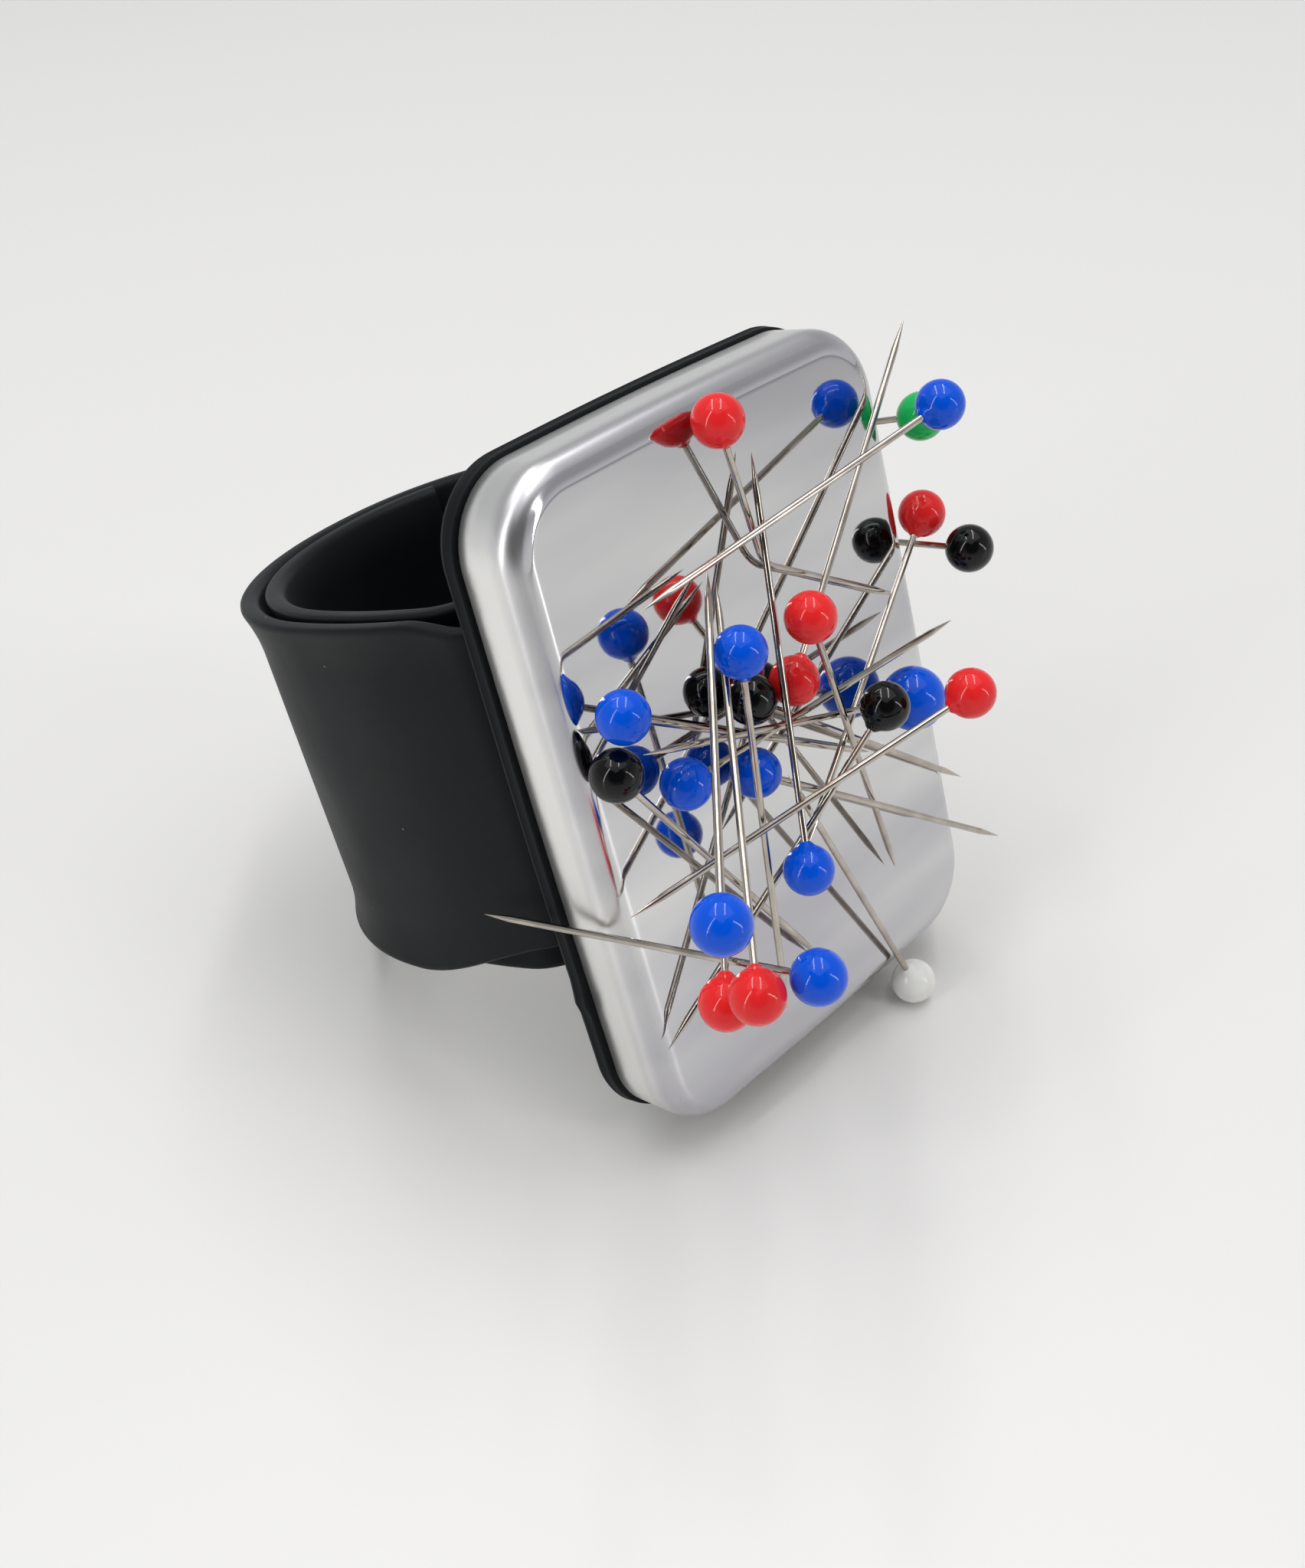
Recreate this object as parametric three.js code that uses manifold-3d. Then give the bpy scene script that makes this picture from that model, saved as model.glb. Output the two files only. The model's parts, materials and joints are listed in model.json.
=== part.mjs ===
// Magnetic wrist pin cushion: a polished steel cap over a magnet on a silicone holder,
// a spring-steel slap band in a silicone sleeve coiled behind it, and ball-head pins on its face.
// Millimetres. The finished part stands on z = 0 with +Z up, and its face looks towards -Y.
import * as THREE from "three";
import { mergeVertices } from "three/addons/utils/BufferGeometryUtils.js";
import Module from "manifold-3d";

const wasm = await Module();
wasm.setup();

// Clearances
const SEAT_GAP = 0.3;
const CHANNEL_CLEARANCE = 0.25;
const BORE_CLEARANCE = 0.2;
const HINGE_GAP = 0.4;

// Steel cap, drawn from sheet
const CAP_WIDTH = 45;
const CAP_HEIGHT = 63;
const CAP_DEPTH = 6.55;
const CAP_SHOULDER = 1.4;
const CAP_CORNER = 7.3;
const CAP_SHEET = 0.6;
const CAP_SIDE_BOW = 0.2;

// Silicone holder that the cap and the magnet sit in
const HOLDER_THICKNESS = 1.94;
const HOLDER_OVERHANG = 0.66;
const HOLDER_EDGE_ROUNDING = 0.5;
const LOCATING_BLOCK_HEIGHT = 1.5;

// Magnet slab under the cap
const MAGNET_SIDE_MARGIN = 2.4;
const MAGNET_CORNER = 3;

// Band: a silicone sleeve on a strip of spring steel
const BAND_WIDTH = 36.2;
const BAND_RISE = 2.5;
const BAND_SAG = 0.062;
const SLEEVE_THICKNESS = 1.9;
const RIM_FLARE = 0.9;
const RIM_FLARE_REACH = 5;
const RIM_ROUNDING = 0.5;
const STRIP_WIDTH = 22;
const STRIP_THICKNESS = 0.35;
const STRIP_END_INSET = 3;
const NECK_LENGTH_AT_TOP = 8;
const NECK_LENGTH_AT_BOTTOM = 21;
const NECK_DROP_AT_TOP = 1.5;
const NECK_RISE_AT_BOTTOM = 4.6;
const BAND_EMBEDDING = 0.35;

// Route of the coiled band, seen along its width: arcs and one straight, from the holder's left end
const BAND_START_ACROSS = -19.2;
const CORNER_RADIUS = 3;
const CORNER_TURN = 72;
const SIDE_RADIUS = 61;
const LAYER_GAP = 0.82;
const BACK_RADIUS = 27;
const RIGHT_BACK_RADIUS = 16;
const RIGHT_BACK_TURN = 65;
const RIGHT_SIDE_RADIUS = 50;
const INNER_CORNER_RADIUS = 14;
const BEHIND_HOLDER_LENGTH = 23.4;
const INNER_LEFT_RADIUS = 4.6;
const INNER_LEFT_TURN = 76;
const TAIL_RADIUS = 14;
const TAIL_TURN = 27;
const ROOT_LENGTH = 9.9;
const BAND_SEGMENTS = 6;
const BAND_STATION_STEP = 4;
const BAND_STATION_TURN = 12;

// Ball-head pins
const PIN_LENGTH = 35.65;
const PIN_DIAMETER = 0.63;
const PIN_TAPER = 3.2;
const HEAD_DIAMETER = 4.49;
const LARGE_HEAD_DIAMETER = 6.1;
const HEAD_COLLAR_LENGTH = 0.7;
const HEAD_COLLAR_DIAMETER = 1.5;
const HEAD_BORE_DEPTH = 2.6;
const PIN_SIDES = 8;
const HEAD_SIDES = 12;
const HEAD_RINGS = 7;

const silicone = { color: 0x1d2022, roughness: 0.62, metalness: 0 };
const mirrorSteel = { color: 0xc9cacb, roughness: 0.12, metalness: 1 };
const magnetFerrite = { color: 0x3a3b3d, roughness: 0.8, metalness: 0.2 };
const springSteel = { color: 0x8b8f93, roughness: 0.35, metalness: 1 };
const nickelledSteel = { color: 0xb9b2a8, roughness: 0.25, metalness: 1 };
const headPlastic = {
  blue: { color: 0x0b5bd3, roughness: 0.15, metalness: 0 },
  red: { color: 0xe8353c, roughness: 0.2, metalness: 0 },
  black: { color: 0x101113, roughness: 0.1, metalness: 0 },
  green: { color: 0x1fc35a, roughness: 0.2, metalness: 0 },
  white: { color: 0xe9e9e4, roughness: 0.25, metalness: 0 },
};

// Walls of the cap that pins stand or hang on, and so move with when the cap's size changes
const RIGHT_WALL = CAP_WIDTH / 2;
const LEFT_WALL = -CAP_WIDTH / 2;
const LOWER_WALL = -CAP_HEIGHT / 2;

// Where each pin lies, in mm on the face: right, up and out of it. Head centre, then a point it aims at
const pinPlaces = [
  { name: "blue_pin_1", plastic: "blue", head: [RIGHT_WALL + 0.4, 22.4, 6.1], aim: [-12.0, 17.5, 1.1] },
  { name: "green_pin", plastic: "green", head: [RIGHT_WALL + 2.4, 20.6, 2.1],
    aim: [RIGHT_WALL + 1.3, 16.9, -33.4] },
  { name: "red_pin_1", plastic: "red", head: [RIGHT_WALL + 2.2, 11.1, 0.4], aim: [-4.4, -8.8, 5.1] },
  { name: "black_pin_1", plastic: "black", head: [RIGHT_WALL + 1.8, 8.1, 5.6],
    aim: [RIGHT_WALL + 1.7, 8.3, -30.1] },
  { name: "red_pin_2", plastic: "red", head: [-0.4, 12.4, 7.9], aim: [11.2, -20.5, 0.7] },
  { name: "blue_pin_2", plastic: "blue", head: [-8.1, 12.7, 7.0], aim: [-9.5, -22.8, 3.6] },
  { name: "blue_pin_3", plastic: "blue", head: [-19.0, 11.8, 4.0], aim: [10.9, -7.4, 0.7] },
  { name: "black_pin_2", plastic: "black", head: [-4.1, 5.8, 2.6], aim: [23.4, -16.8, 0.6] },
  { name: "red_pin_3", plastic: "red", head: [0.7, 5.4, 3.3], aim: [27.3, 28.9, 0.1] },
  { name: "black_pin_3", plastic: "black", head: [6.7, 0.6, 7.6], aim: [-21.3, -20.2, 0.7] },
  { name: "red_pin_4", plastic: "red", head: [10.8, 0.8, 13.9], aim: [-22.0, -5.8, 1.6] },
  { name: "black_pin_4", plastic: "black", head: [-20.5, 7.2, 3.1], aim: [-1.5, -22.9, 0.7] },
  { name: "blue_pin_4", plastic: "blue", head: [LEFT_WALL + 2.2, -7.1, 20.4],
    aim: [LEFT_WALL - 2.9, -7.8, -14.9] },
  { name: "blue_pin_5", plastic: "blue", head: [-13.9, 2.9, 3.2], aim: [21.7, 1.8, 4.2] },
  { name: "blue_pin_6", plastic: "blue", head: [-5.7, -0.5, 2.8], aim: [22.4, -22.3, 4.9] },
  { name: "white_pin", plastic: "white", head: [10.9, LOWER_WALL - 2.6, 0.3], aim: [-3.4, -1.7, 4.2] },
  { name: "large_blue_pin", plastic: "blue", head: [14.7, -3.1, 3.9], aim: [-18.9, 8.6, 5.1], large: true },
  { name: "blue_pin_7", plastic: "blue", head: [-7.1, -8.3, 8.0], aim: [3.9, 24.9, 0.9] },
  { name: "red_pin_5", plastic: "red", head: [LEFT_WALL - 1.7, -9.1, 13.7], aim: [-4.0, 17.2, 0.7] },
  { name: "red_pin_6", plastic: "red", head: [LEFT_WALL - 2.1, -6.8, 18.0], aim: [-3.3, 16.1, 0.8] },
  { name: "blue_pin_8", plastic: "blue", head: [-29.9, 4.2, 22.5], aim: [-4.5, 17.7, 1.4] },
];

// Bent pin: head centre, elbow on the face and tip
const BENT_PIN_HEAD = [-0.8, 29.3, 2.7];
const BENT_PIN_ELBOW = [2.6, 15.3, 0.75];
const BENT_PIN_TIP = [19.0, 5.2, 0.65];
const BENT_PIN_BEND_LENGTH = 2.4;

function radians(degrees) {
  return (degrees * Math.PI) / 180;
}

// Booleans work on solids, so that a geometry's vertices are merged first
function toSolid(geometry) {
  const plain = geometry.clone();
  for (const name of Object.keys(plain.attributes)) {
    if (name !== "position") plain.deleteAttribute(name);
  }
  const merged = mergeVertices(plain, 1e-4);
  return new wasm.Manifold(new wasm.Mesh({
    numProp: 3,
    vertProperties: new Float32Array(merged.attributes.position.array),
    triVerts: new Uint32Array(merged.index.array),
  }));
}

function toGeometry(solid) {
  const mesh = solid.getMesh();
  const geometry = new THREE.BufferGeometry();
  geometry.setAttribute("position", new THREE.BufferAttribute(new Float32Array(mesh.vertProperties), 3));
  geometry.setIndex(new THREE.BufferAttribute(new Uint32Array(mesh.triVerts), 1));
  return geometry;
}

function signedVolume(points, triangles) {
  let sum = 0;
  for (const [a, b, c] of triangles) {
    sum += points[a].dot(new THREE.Vector3().crossVectors(points[b], points[c]));
  }
  return sum / 6;
}

// A closed skin over a row of rings that all have the same number of points, with flat ends
function loftRings(rings, endOutline) {
  const count = rings[0].length;
  const points = rings.flat();
  const triangles = [];
  for (let ring = 0; ring + 1 < rings.length; ring += 1) {
    for (let i = 0; i < count; i += 1) {
      const next = (i + 1) % count;
      const a = ring * count + i;
      const b = ring * count + next;
      triangles.push([a, b, b + count], [a, b + count, a + count]);
    }
  }
  const ends = THREE.ShapeUtils.triangulateShape(endOutline, []);
  const last = (rings.length - 1) * count;
  const flip = THREE.ShapeUtils.isClockWise(endOutline);
  for (const [a, b, c] of ends) {
    const face = flip ? [a, b, c] : [a, c, b];
    triangles.push(face, [last + face[0], last + face[2], last + face[1]]);
  }
  const outward = signedVolume(points, triangles) > 0;
  const index = triangles.flatMap(([a, b, c]) => (outward ? [a, b, c] : [a, c, b]));
  const geometry = new THREE.BufferGeometry();
  geometry.setAttribute("position", new THREE.Float32BufferAttribute(points.flatMap((p) => p.toArray()), 3));
  geometry.setIndex(index);
  return geometry;
}

// Rounded rectangle with slightly bowed sides, drawn in by an inset
function capOutline(inset) {
  const halfWidth = CAP_WIDTH / 2 - inset;
  const halfHeight = CAP_HEIGHT / 2 - inset;
  const corner = Math.max(CAP_CORNER - inset, 0.5);
  const cornerSteps = 6;
  const sideSteps = 4;
  const points = [];
  const corners = [[1, 1, 0], [-1, 1, 90], [-1, -1, 180], [1, -1, 270]];
  for (const [signX, signY, start] of corners) {
    for (let step = 0; step <= cornerSteps; step += 1) {
      const angle = radians(start + (90 * step) / cornerSteps);
      const x = signX * (halfWidth - corner) + corner * Math.cos(angle);
      const y = signY * (halfHeight - corner) + corner * Math.sin(angle);
      points.push(new THREE.Vector2(x, y));
    }
    const from = points[points.length - 1];
    const nextCorner = corners[(corners.findIndex((entry) => entry[2] === start) + 1) % 4];
    const endAngle = radians(nextCorner[2]);
    const to = new THREE.Vector2(
      nextCorner[0] * (halfWidth - corner) + corner * Math.cos(endAngle),
      nextCorner[1] * (halfHeight - corner) + corner * Math.sin(endAngle),
    );
    const out = new THREE.Vector2(to.y - from.y, from.x - to.x).normalize();
    for (let step = 1; step < sideSteps; step += 1) {
      const share = step / sideSteps;
      const bow = CAP_SIDE_BOW * Math.sin(Math.PI * share);
      points.push(from.clone().lerp(to, share).addScaledVector(out, bow));
    }
  }
  return points;
}

function outlineRing(inset, height) {
  return capOutline(inset).map((p) => new THREE.Vector3(p.x, p.y, height));
}

// Rings from the edge of the sheet up the wall and over the shoulder, ending flat on the face
function shoulderRings(inset, faceHeight, shoulder) {
  const rings = [outlineRing(inset, 0)];
  const steps = 4;
  for (let step = 0; step <= steps; step += 1) {
    const angle = radians((90 * step) / steps);
    const height = faceHeight - shoulder + shoulder * Math.sin(angle);
    rings.push(outlineRing(inset + shoulder * (1 - Math.cos(angle)), height));
  }
  return rings;
}

function steelCap() {
  const outer = shoulderRings(0, CAP_DEPTH, CAP_SHOULDER);
  const inner = shoulderRings(CAP_SHEET, CAP_DEPTH - CAP_SHEET, CAP_SHOULDER - CAP_SHEET);
  const rings = [...inner.reverse(), ...outer];
  return loftRings(rings, capOutline(CAP_SHOULDER));
}

function magnetSlab() {
  const width = CAP_WIDTH - 2 * (CAP_SHEET + MAGNET_SIDE_MARGIN);
  const height = CAP_HEIGHT - 2 * (CAP_SHEET + MAGNET_SIDE_MARGIN);
  const shape = new THREE.Shape();
  const x = width / 2;
  const y = height / 2;
  const r = MAGNET_CORNER;
  shape.moveTo(-x + r, -y);
  shape.lineTo(x - r, -y);
  shape.absarc(x - r, -y + r, r, -Math.PI / 2, 0, false);
  shape.lineTo(x, y - r);
  shape.absarc(x - r, y - r, r, 0, Math.PI / 2, false);
  shape.lineTo(-x + r, y);
  shape.absarc(-x + r, y - r, r, Math.PI / 2, Math.PI, false);
  shape.lineTo(-x, -y + r);
  shape.absarc(-x + r, -y + r, r, Math.PI, Math.PI * 1.5, false);
  const bottom = LOCATING_BLOCK_HEIGHT + SEAT_GAP;
  const depth = CAP_DEPTH - CAP_SHEET - SEAT_GAP - bottom;
  const geometry = new THREE.ExtrudeGeometry(shape, { depth, bevelEnabled: false, curveSegments: 4 });
  geometry.translate(0, 0, bottom);
  return geometry;
}

// Arcs of the band's route: radius in mm and turn in degrees, or a straight length
function bandArcs() {
  const layer = SLEEVE_THICKNESS + LAYER_GAP;
  return [
    { radius: CORNER_RADIUS, turn: CORNER_TURN },
    { radius: SIDE_RADIUS, turn: 90 - CORNER_TURN },
    { radius: BACK_RADIUS, turn: 90 },
    { radius: RIGHT_BACK_RADIUS, turn: RIGHT_BACK_TURN },
    { radius: RIGHT_SIDE_RADIUS, turn: 90 - RIGHT_BACK_TURN },
    { radius: INNER_CORNER_RADIUS, turn: 90 },
    { straight: BEHIND_HOLDER_LENGTH },
    { radius: INNER_LEFT_RADIUS, turn: INNER_LEFT_TURN },
    { radius: SIDE_RADIUS - layer, turn: 90 - INNER_LEFT_TURN },
    { radius: BACK_RADIUS - layer, turn: 90 },
    { radius: TAIL_RADIUS, turn: TAIL_TURN },
  ];
}

function arcLength(arc) {
  return arc.straight ?? arc.radius * radians(arc.turn);
}

const bandLength = bandArcs().reduce((sum, arc) => sum + arcLength(arc), 0);
const bandCentreDepth = -HOLDER_THICKNESS - SLEEVE_THICKNESS / 2 + BAND_EMBEDDING;

// Place on the band's centre line at a distance along it: across, out and heading in radians
function bandPlace(distance) {
  let across = BAND_START_ACROSS;
  let out = bandCentreDepth;
  let heading = Math.PI;
  let left = Math.max(distance, 0);
  if (distance < 0) return { across: across - distance, out, heading };
  for (const arc of bandArcs()) {
    const length = Math.min(arcLength(arc), left);
    if (arc.straight) {
      across += Math.cos(heading) * length;
      out += Math.sin(heading) * length;
    } else {
      const turned = length / arc.radius;
      across += arc.radius * (Math.sin(heading + turned) - Math.sin(heading));
      out += arc.radius * (Math.cos(heading) - Math.cos(heading + turned));
      heading += turned;
    }
    left -= length;
    if (left <= 1e-9) break;
  }
  return { across, out, heading };
}

// The band is narrower where it leaves the holder
function bandEdges(distance) {
  const atTop = 1 - THREE.MathUtils.smoothstep(distance, 0, NECK_LENGTH_AT_TOP);
  const atBottom = 1 - THREE.MathUtils.smoothstep(distance, 0, NECK_LENGTH_AT_BOTTOM);
  return {
    top: BAND_WIDTH / 2 - NECK_DROP_AT_TOP * atTop,
    bottom: -BAND_WIDTH / 2 + NECK_RISE_AT_BOTTOM * atBottom,
  };
}

// It leaves the holder a little above the middle and sags with the distance behind the face
function bandLift(out) {
  return BAND_RISE + BAND_SAG * out;
}

function rimFlare(distanceFromRim) {
  const t = THREE.MathUtils.clamp(1 - distanceFromRim / RIM_FLARE_REACH, 0, 1);
  return RIM_FLARE * t * t;
}

// Section of the sleeve as pairs of offset outwards and height, with rims that flare outwards
function sleeveSection(top, bottom) {
  const half = SLEEVE_THICKNESS / 2;
  const insets = [RIM_ROUNDING, RIM_FLARE_REACH * 0.3, RIM_FLARE_REACH * 0.6, RIM_FLARE_REACH];
  const heights = [
    ...insets.map((inset) => [bottom + inset, inset]),
    ...insets.slice().reverse().map((inset) => [top - inset, inset]),
  ];
  const outside = heights.map(([height, inset]) => [half + rimFlare(inset), height]);
  const inside = heights.map(([height, inset]) => [-half + rimFlare(inset), height]).reverse();
  const topCap = [[half + RIM_FLARE - RIM_ROUNDING, top], [-half + RIM_FLARE + RIM_ROUNDING, top]];
  const bottomCap = [[-half + RIM_FLARE + RIM_ROUNDING, bottom], [half + RIM_FLARE - RIM_ROUNDING, bottom]];
  return [...outside, ...topCap, ...inside, ...bottomCap];
}

function rectangleSection(thickness, width) {
  const t = thickness / 2;
  const w = width / 2;
  return [[t, -w], [t, w], [-t, w], [-t, -w]];
}

// Distances along the band where its sections stand: every piece shares them
function bandStations() {
  const stations = [];
  let start = 0;
  for (const arc of bandArcs()) {
    const length = arcLength(arc);
    const bySize = length / BAND_STATION_STEP;
    const byTurn = arc.straight ? 1 : arc.turn / BAND_STATION_TURN;
    const steps = Math.max(1, Math.ceil(Math.max(bySize, byTurn)));
    for (let step = 0; step < steps; step += 1) stations.push(start + (length * step) / steps);
    start += length;
  }
  return stations;
}

// A section carried along the band from one distance to another
function sweepAlongBand(from, to, sectionAt) {
  const nearest = BAND_STATION_STEP * 0.1;
  const between = bandStations().filter((s) => s > from + nearest && s < to - nearest);
  const rings = [from, ...between, to].map((distance) => {
    const place = bandPlace(distance);
    const outX = Math.sin(place.heading);
    const outZ = -Math.cos(place.heading);
    return sectionAt(distance).map(([offset, height]) => new THREE.Vector3(
      place.across + outX * offset,
      bandLift(place.out) + height,
      place.out + outZ * offset,
    ));
  });
  return loftRings(rings, sectionAt(from).map(([offset, height]) => new THREE.Vector2(offset, height)));
}

function sleeveSectionAt(distance) {
  const edges = bandEdges(distance);
  return sleeveSection(edges.top, edges.bottom);
}

function channelSection() {
  return rectangleSection(STRIP_THICKNESS + 2 * CHANNEL_CLEARANCE, STRIP_WIDTH + 2 * CHANNEL_CLEARANCE);
}

function stripBetween(from, to) {
  return sweepAlongBand(from, to, () => rectangleSection(STRIP_THICKNESS, STRIP_WIDTH));
}

const segmentLength = (bandLength - ROOT_LENGTH) / BAND_SEGMENTS;

function segmentStart(index) {
  return ROOT_LENGTH + segmentLength * index;
}

function bandSleeve(index) {
  const from = segmentStart(index) + HINGE_GAP / 2;
  const isLast = index === BAND_SEGMENTS - 1;
  const to = isLast ? bandLength : segmentStart(index + 1) - HINGE_GAP / 2;
  const sleeve = toSolid(sweepAlongBand(from, to, sleeveSectionAt));
  const channelEnd = isLast ? bandLength - STRIP_END_INSET + CHANNEL_CLEARANCE : to + HINGE_GAP;
  const channel = toSolid(sweepAlongBand(from - HINGE_GAP, channelEnd, channelSection));
  return toGeometry(sleeve.subtract(channel));
}

function springStrip(index) {
  const from = segmentStart(index) + HINGE_GAP / 2;
  const isLast = index === BAND_SEGMENTS - 1;
  const to = isLast ? bandLength - STRIP_END_INSET : segmentStart(index + 1) - HINGE_GAP / 2;
  return stripBetween(from, to);
}

// Back of the holder: a rimmed tray that the steel cap stands in, with the band's root moulded on
function holder() {
  const under = -SEAT_GAP;
  const back = -HOLDER_THICKNESS;
  const edge = HOLDER_EDGE_ROUNDING;
  const rings = [
    outlineRing(-HOLDER_OVERHANG + edge, back),
    outlineRing(-HOLDER_OVERHANG + edge * 0.3, back + edge * 0.3),
    outlineRing(-HOLDER_OVERHANG, back + edge),
    outlineRing(-HOLDER_OVERHANG, under - edge),
    outlineRing(-HOLDER_OVERHANG + edge * 0.3, under - edge * 0.3),
    outlineRing(-HOLDER_OVERHANG + edge, under),
  ];
  const tray = toSolid(loftRings(rings, capOutline(-HOLDER_OVERHANG + edge)));
  const blockInset = CAP_SHEET + SEAT_GAP;
  const block = toSolid(loftRings(
    [outlineRing(blockInset, back + edge), outlineRing(blockInset, LOCATING_BLOCK_HEIGHT)],
    capOutline(blockInset),
  ));
  const rootFrom = 2 * BAND_START_ACROSS;
  const root = toSolid(sweepAlongBand(rootFrom, ROOT_LENGTH - HINGE_GAP / 2, sleeveSectionAt));
  const channel = toSolid(sweepAlongBand(rootFrom + SEAT_GAP, ROOT_LENGTH + HINGE_GAP, channelSection));
  return toGeometry(tray.add(block).add(root).subtract(channel));
}

function holderStrip() {
  const from = 2 * BAND_START_ACROSS + SEAT_GAP + CHANNEL_CLEARANCE;
  return stripBetween(from, ROOT_LENGTH - HINGE_GAP / 2);
}

// Ball head with a short collar and a blind bore for the shaft, pointing down its own -Z
function pinHead(diameter) {
  const radius = diameter / 2;
  const bore = PIN_DIAMETER / 2 + BORE_CLEARANCE;
  const collar = HEAD_COLLAR_DIAMETER / 2;
  const mouth = -radius - HEAD_COLLAR_LENGTH * 0.5;
  const start = Math.asin(collar / radius);
  const profile = [
    new THREE.Vector2(0, mouth + HEAD_BORE_DEPTH),
    new THREE.Vector2(bore, mouth + HEAD_BORE_DEPTH),
    new THREE.Vector2(bore, mouth),
    new THREE.Vector2(collar * 0.8, mouth),
  ];
  for (let ring = 0; ring <= HEAD_RINGS; ring += 1) {
    const angle = start + ((Math.PI - start) * ring) / HEAD_RINGS;
    const isPole = ring === HEAD_RINGS;
    profile.push(new THREE.Vector2(isPole ? 0 : radius * Math.sin(angle), -radius * Math.cos(angle)));
  }
  const geometry = new THREE.LatheGeometry(profile, HEAD_SIDES);
  geometry.rotateX(Math.PI / 2);
  return geometry;
}

// Straight shaft from inside the head to its ground point, along its own -Z
function pinShaft(diameter) {
  const radius = PIN_DIAMETER / 2;
  const top = -diameter / 2 - HEAD_COLLAR_LENGTH * 0.5 + HEAD_BORE_DEPTH - BORE_CLEARANCE;
  const profile = [
    new THREE.Vector2(0, -PIN_LENGTH),
    new THREE.Vector2(radius * 0.55, -PIN_LENGTH + PIN_TAPER * 0.45),
    new THREE.Vector2(radius, -PIN_LENGTH + PIN_TAPER),
    new THREE.Vector2(radius, top),
    new THREE.Vector2(0, top),
  ];
  const geometry = new THREE.LatheGeometry(profile, PIN_SIDES);
  geometry.rotateX(Math.PI / 2);
  return geometry;
}

function faceVector([across, up, out]) {
  return new THREE.Vector3(across, up, CAP_DEPTH + out);
}

function meshOf(name, geometry, finish) {
  const mesh = new THREE.Mesh(geometry, new THREE.MeshStandardMaterial(finish));
  mesh.name = name;
  return mesh;
}

// The group's own -Z runs from the head towards the tip
function straightPin({ name, plastic, head, aim, large }) {
  const diameter = large ? LARGE_HEAD_DIAMETER : HEAD_DIAMETER;
  const group = new THREE.Group();
  const centre = faceVector(head);
  const along = faceVector(aim).sub(centre).normalize();
  group.position.copy(centre);
  group.quaternion.setFromUnitVectors(new THREE.Vector3(0, 0, -1), along);
  group.add(meshOf(`${name}_head`, pinHead(diameter), headPlastic[plastic]));
  group.add(meshOf(`${name}_shaft`, pinShaft(diameter), nickelledSteel));
  return group;
}

function bentShaft() {
  const head = faceVector(BENT_PIN_HEAD);
  const elbow = faceVector(BENT_PIN_ELBOW);
  const tip = faceVector(BENT_PIN_TIP);
  const down = elbow.clone().sub(head).normalize();
  const along = tip.clone().sub(elbow).normalize();
  const top = HEAD_DIAMETER / 2 + HEAD_COLLAR_LENGTH * 0.5 - HEAD_BORE_DEPTH + BORE_CLEARANCE;
  const bendFrom = elbow.clone().addScaledVector(down, -BENT_PIN_BEND_LENGTH);
  const bendTo = elbow.clone().addScaledVector(along, BENT_PIN_BEND_LENGTH);
  const taperFrom = tip.clone().addScaledVector(along, -PIN_TAPER);
  const radius = PIN_DIAMETER / 2;
  const bend = new THREE.QuadraticBezierCurve3(bendFrom, elbow, bendTo);
  const bendSteps = 8;
  const centres = [head.clone().addScaledVector(down, top)];
  for (let step = 0; step <= bendSteps; step += 1) centres.push(bend.getPoint(step / bendSteps));
  centres.push(taperFrom, tip);
  const side = new THREE.Vector3().crossVectors(down, along).normalize();
  const rings = centres.map((centre, index) => {
    const before = centres[Math.max(index - 1, 0)];
    const after = centres[Math.min(index + 1, centres.length - 1)];
    const tangent = after.clone().sub(before).normalize();
    const across = new THREE.Vector3().crossVectors(side, tangent).normalize();
    const size = index === centres.length - 1 ? radius * 0.12 : radius;
    return ringAround(centre, side, across, size);
  });
  return loftRings(rings, ringOutline(radius));
}

function ringAround(centre, first, second, radius) {
  const points = [];
  for (let i = 0; i < PIN_SIDES; i += 1) {
    const angle = (2 * Math.PI * i) / PIN_SIDES;
    points.push(centre.clone()
      .addScaledVector(first, radius * Math.cos(angle))
      .addScaledVector(second, radius * Math.sin(angle)));
  }
  return points;
}

function ringOutline(radius) {
  const points = [];
  for (let i = 0; i < PIN_SIDES; i += 1) {
    const angle = (2 * Math.PI * i) / PIN_SIDES;
    points.push(new THREE.Vector2(radius * Math.cos(angle), radius * Math.sin(angle)));
  }
  return points;
}

function bentPin() {
  const group = new THREE.Group();
  const centre = faceVector(BENT_PIN_HEAD);
  const along = faceVector(BENT_PIN_ELBOW).sub(centre).normalize();
  const head = meshOf("bent_red_pin_head", pinHead(HEAD_DIAMETER), headPlastic.red);
  head.position.copy(centre);
  head.quaternion.setFromUnitVectors(new THREE.Vector3(0, 0, -1), along);
  group.add(head);
  group.add(meshOf("bent_red_pin_shaft", bentShaft(), nickelledSteel));
  return group;
}

function holderPieces() {
  const group = new THREE.Group();
  group.add(meshOf("silicone_holder", holder(), silicone));
  group.add(meshOf("steel_cap", steelCap(), mirrorSteel));
  group.add(meshOf("magnet", magnetSlab(), magnetFerrite));
  group.add(meshOf("spring_strip_root", holderStrip(), springSteel));
  return group;
}

function bandPieces() {
  const group = new THREE.Group();
  for (let index = 0; index < BAND_SEGMENTS; index += 1) {
    group.add(meshOf(`band_sleeve_${index + 1}`, bandSleeve(index), silicone));
    group.add(meshOf(`spring_strip_${index + 1}`, springStrip(index), springSteel));
  }
  return group;
}

function pins() {
  const group = new THREE.Group();
  for (const place of pinPlaces) group.add(straightPin(place));
  group.add(bentPin());
  return group;
}

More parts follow.
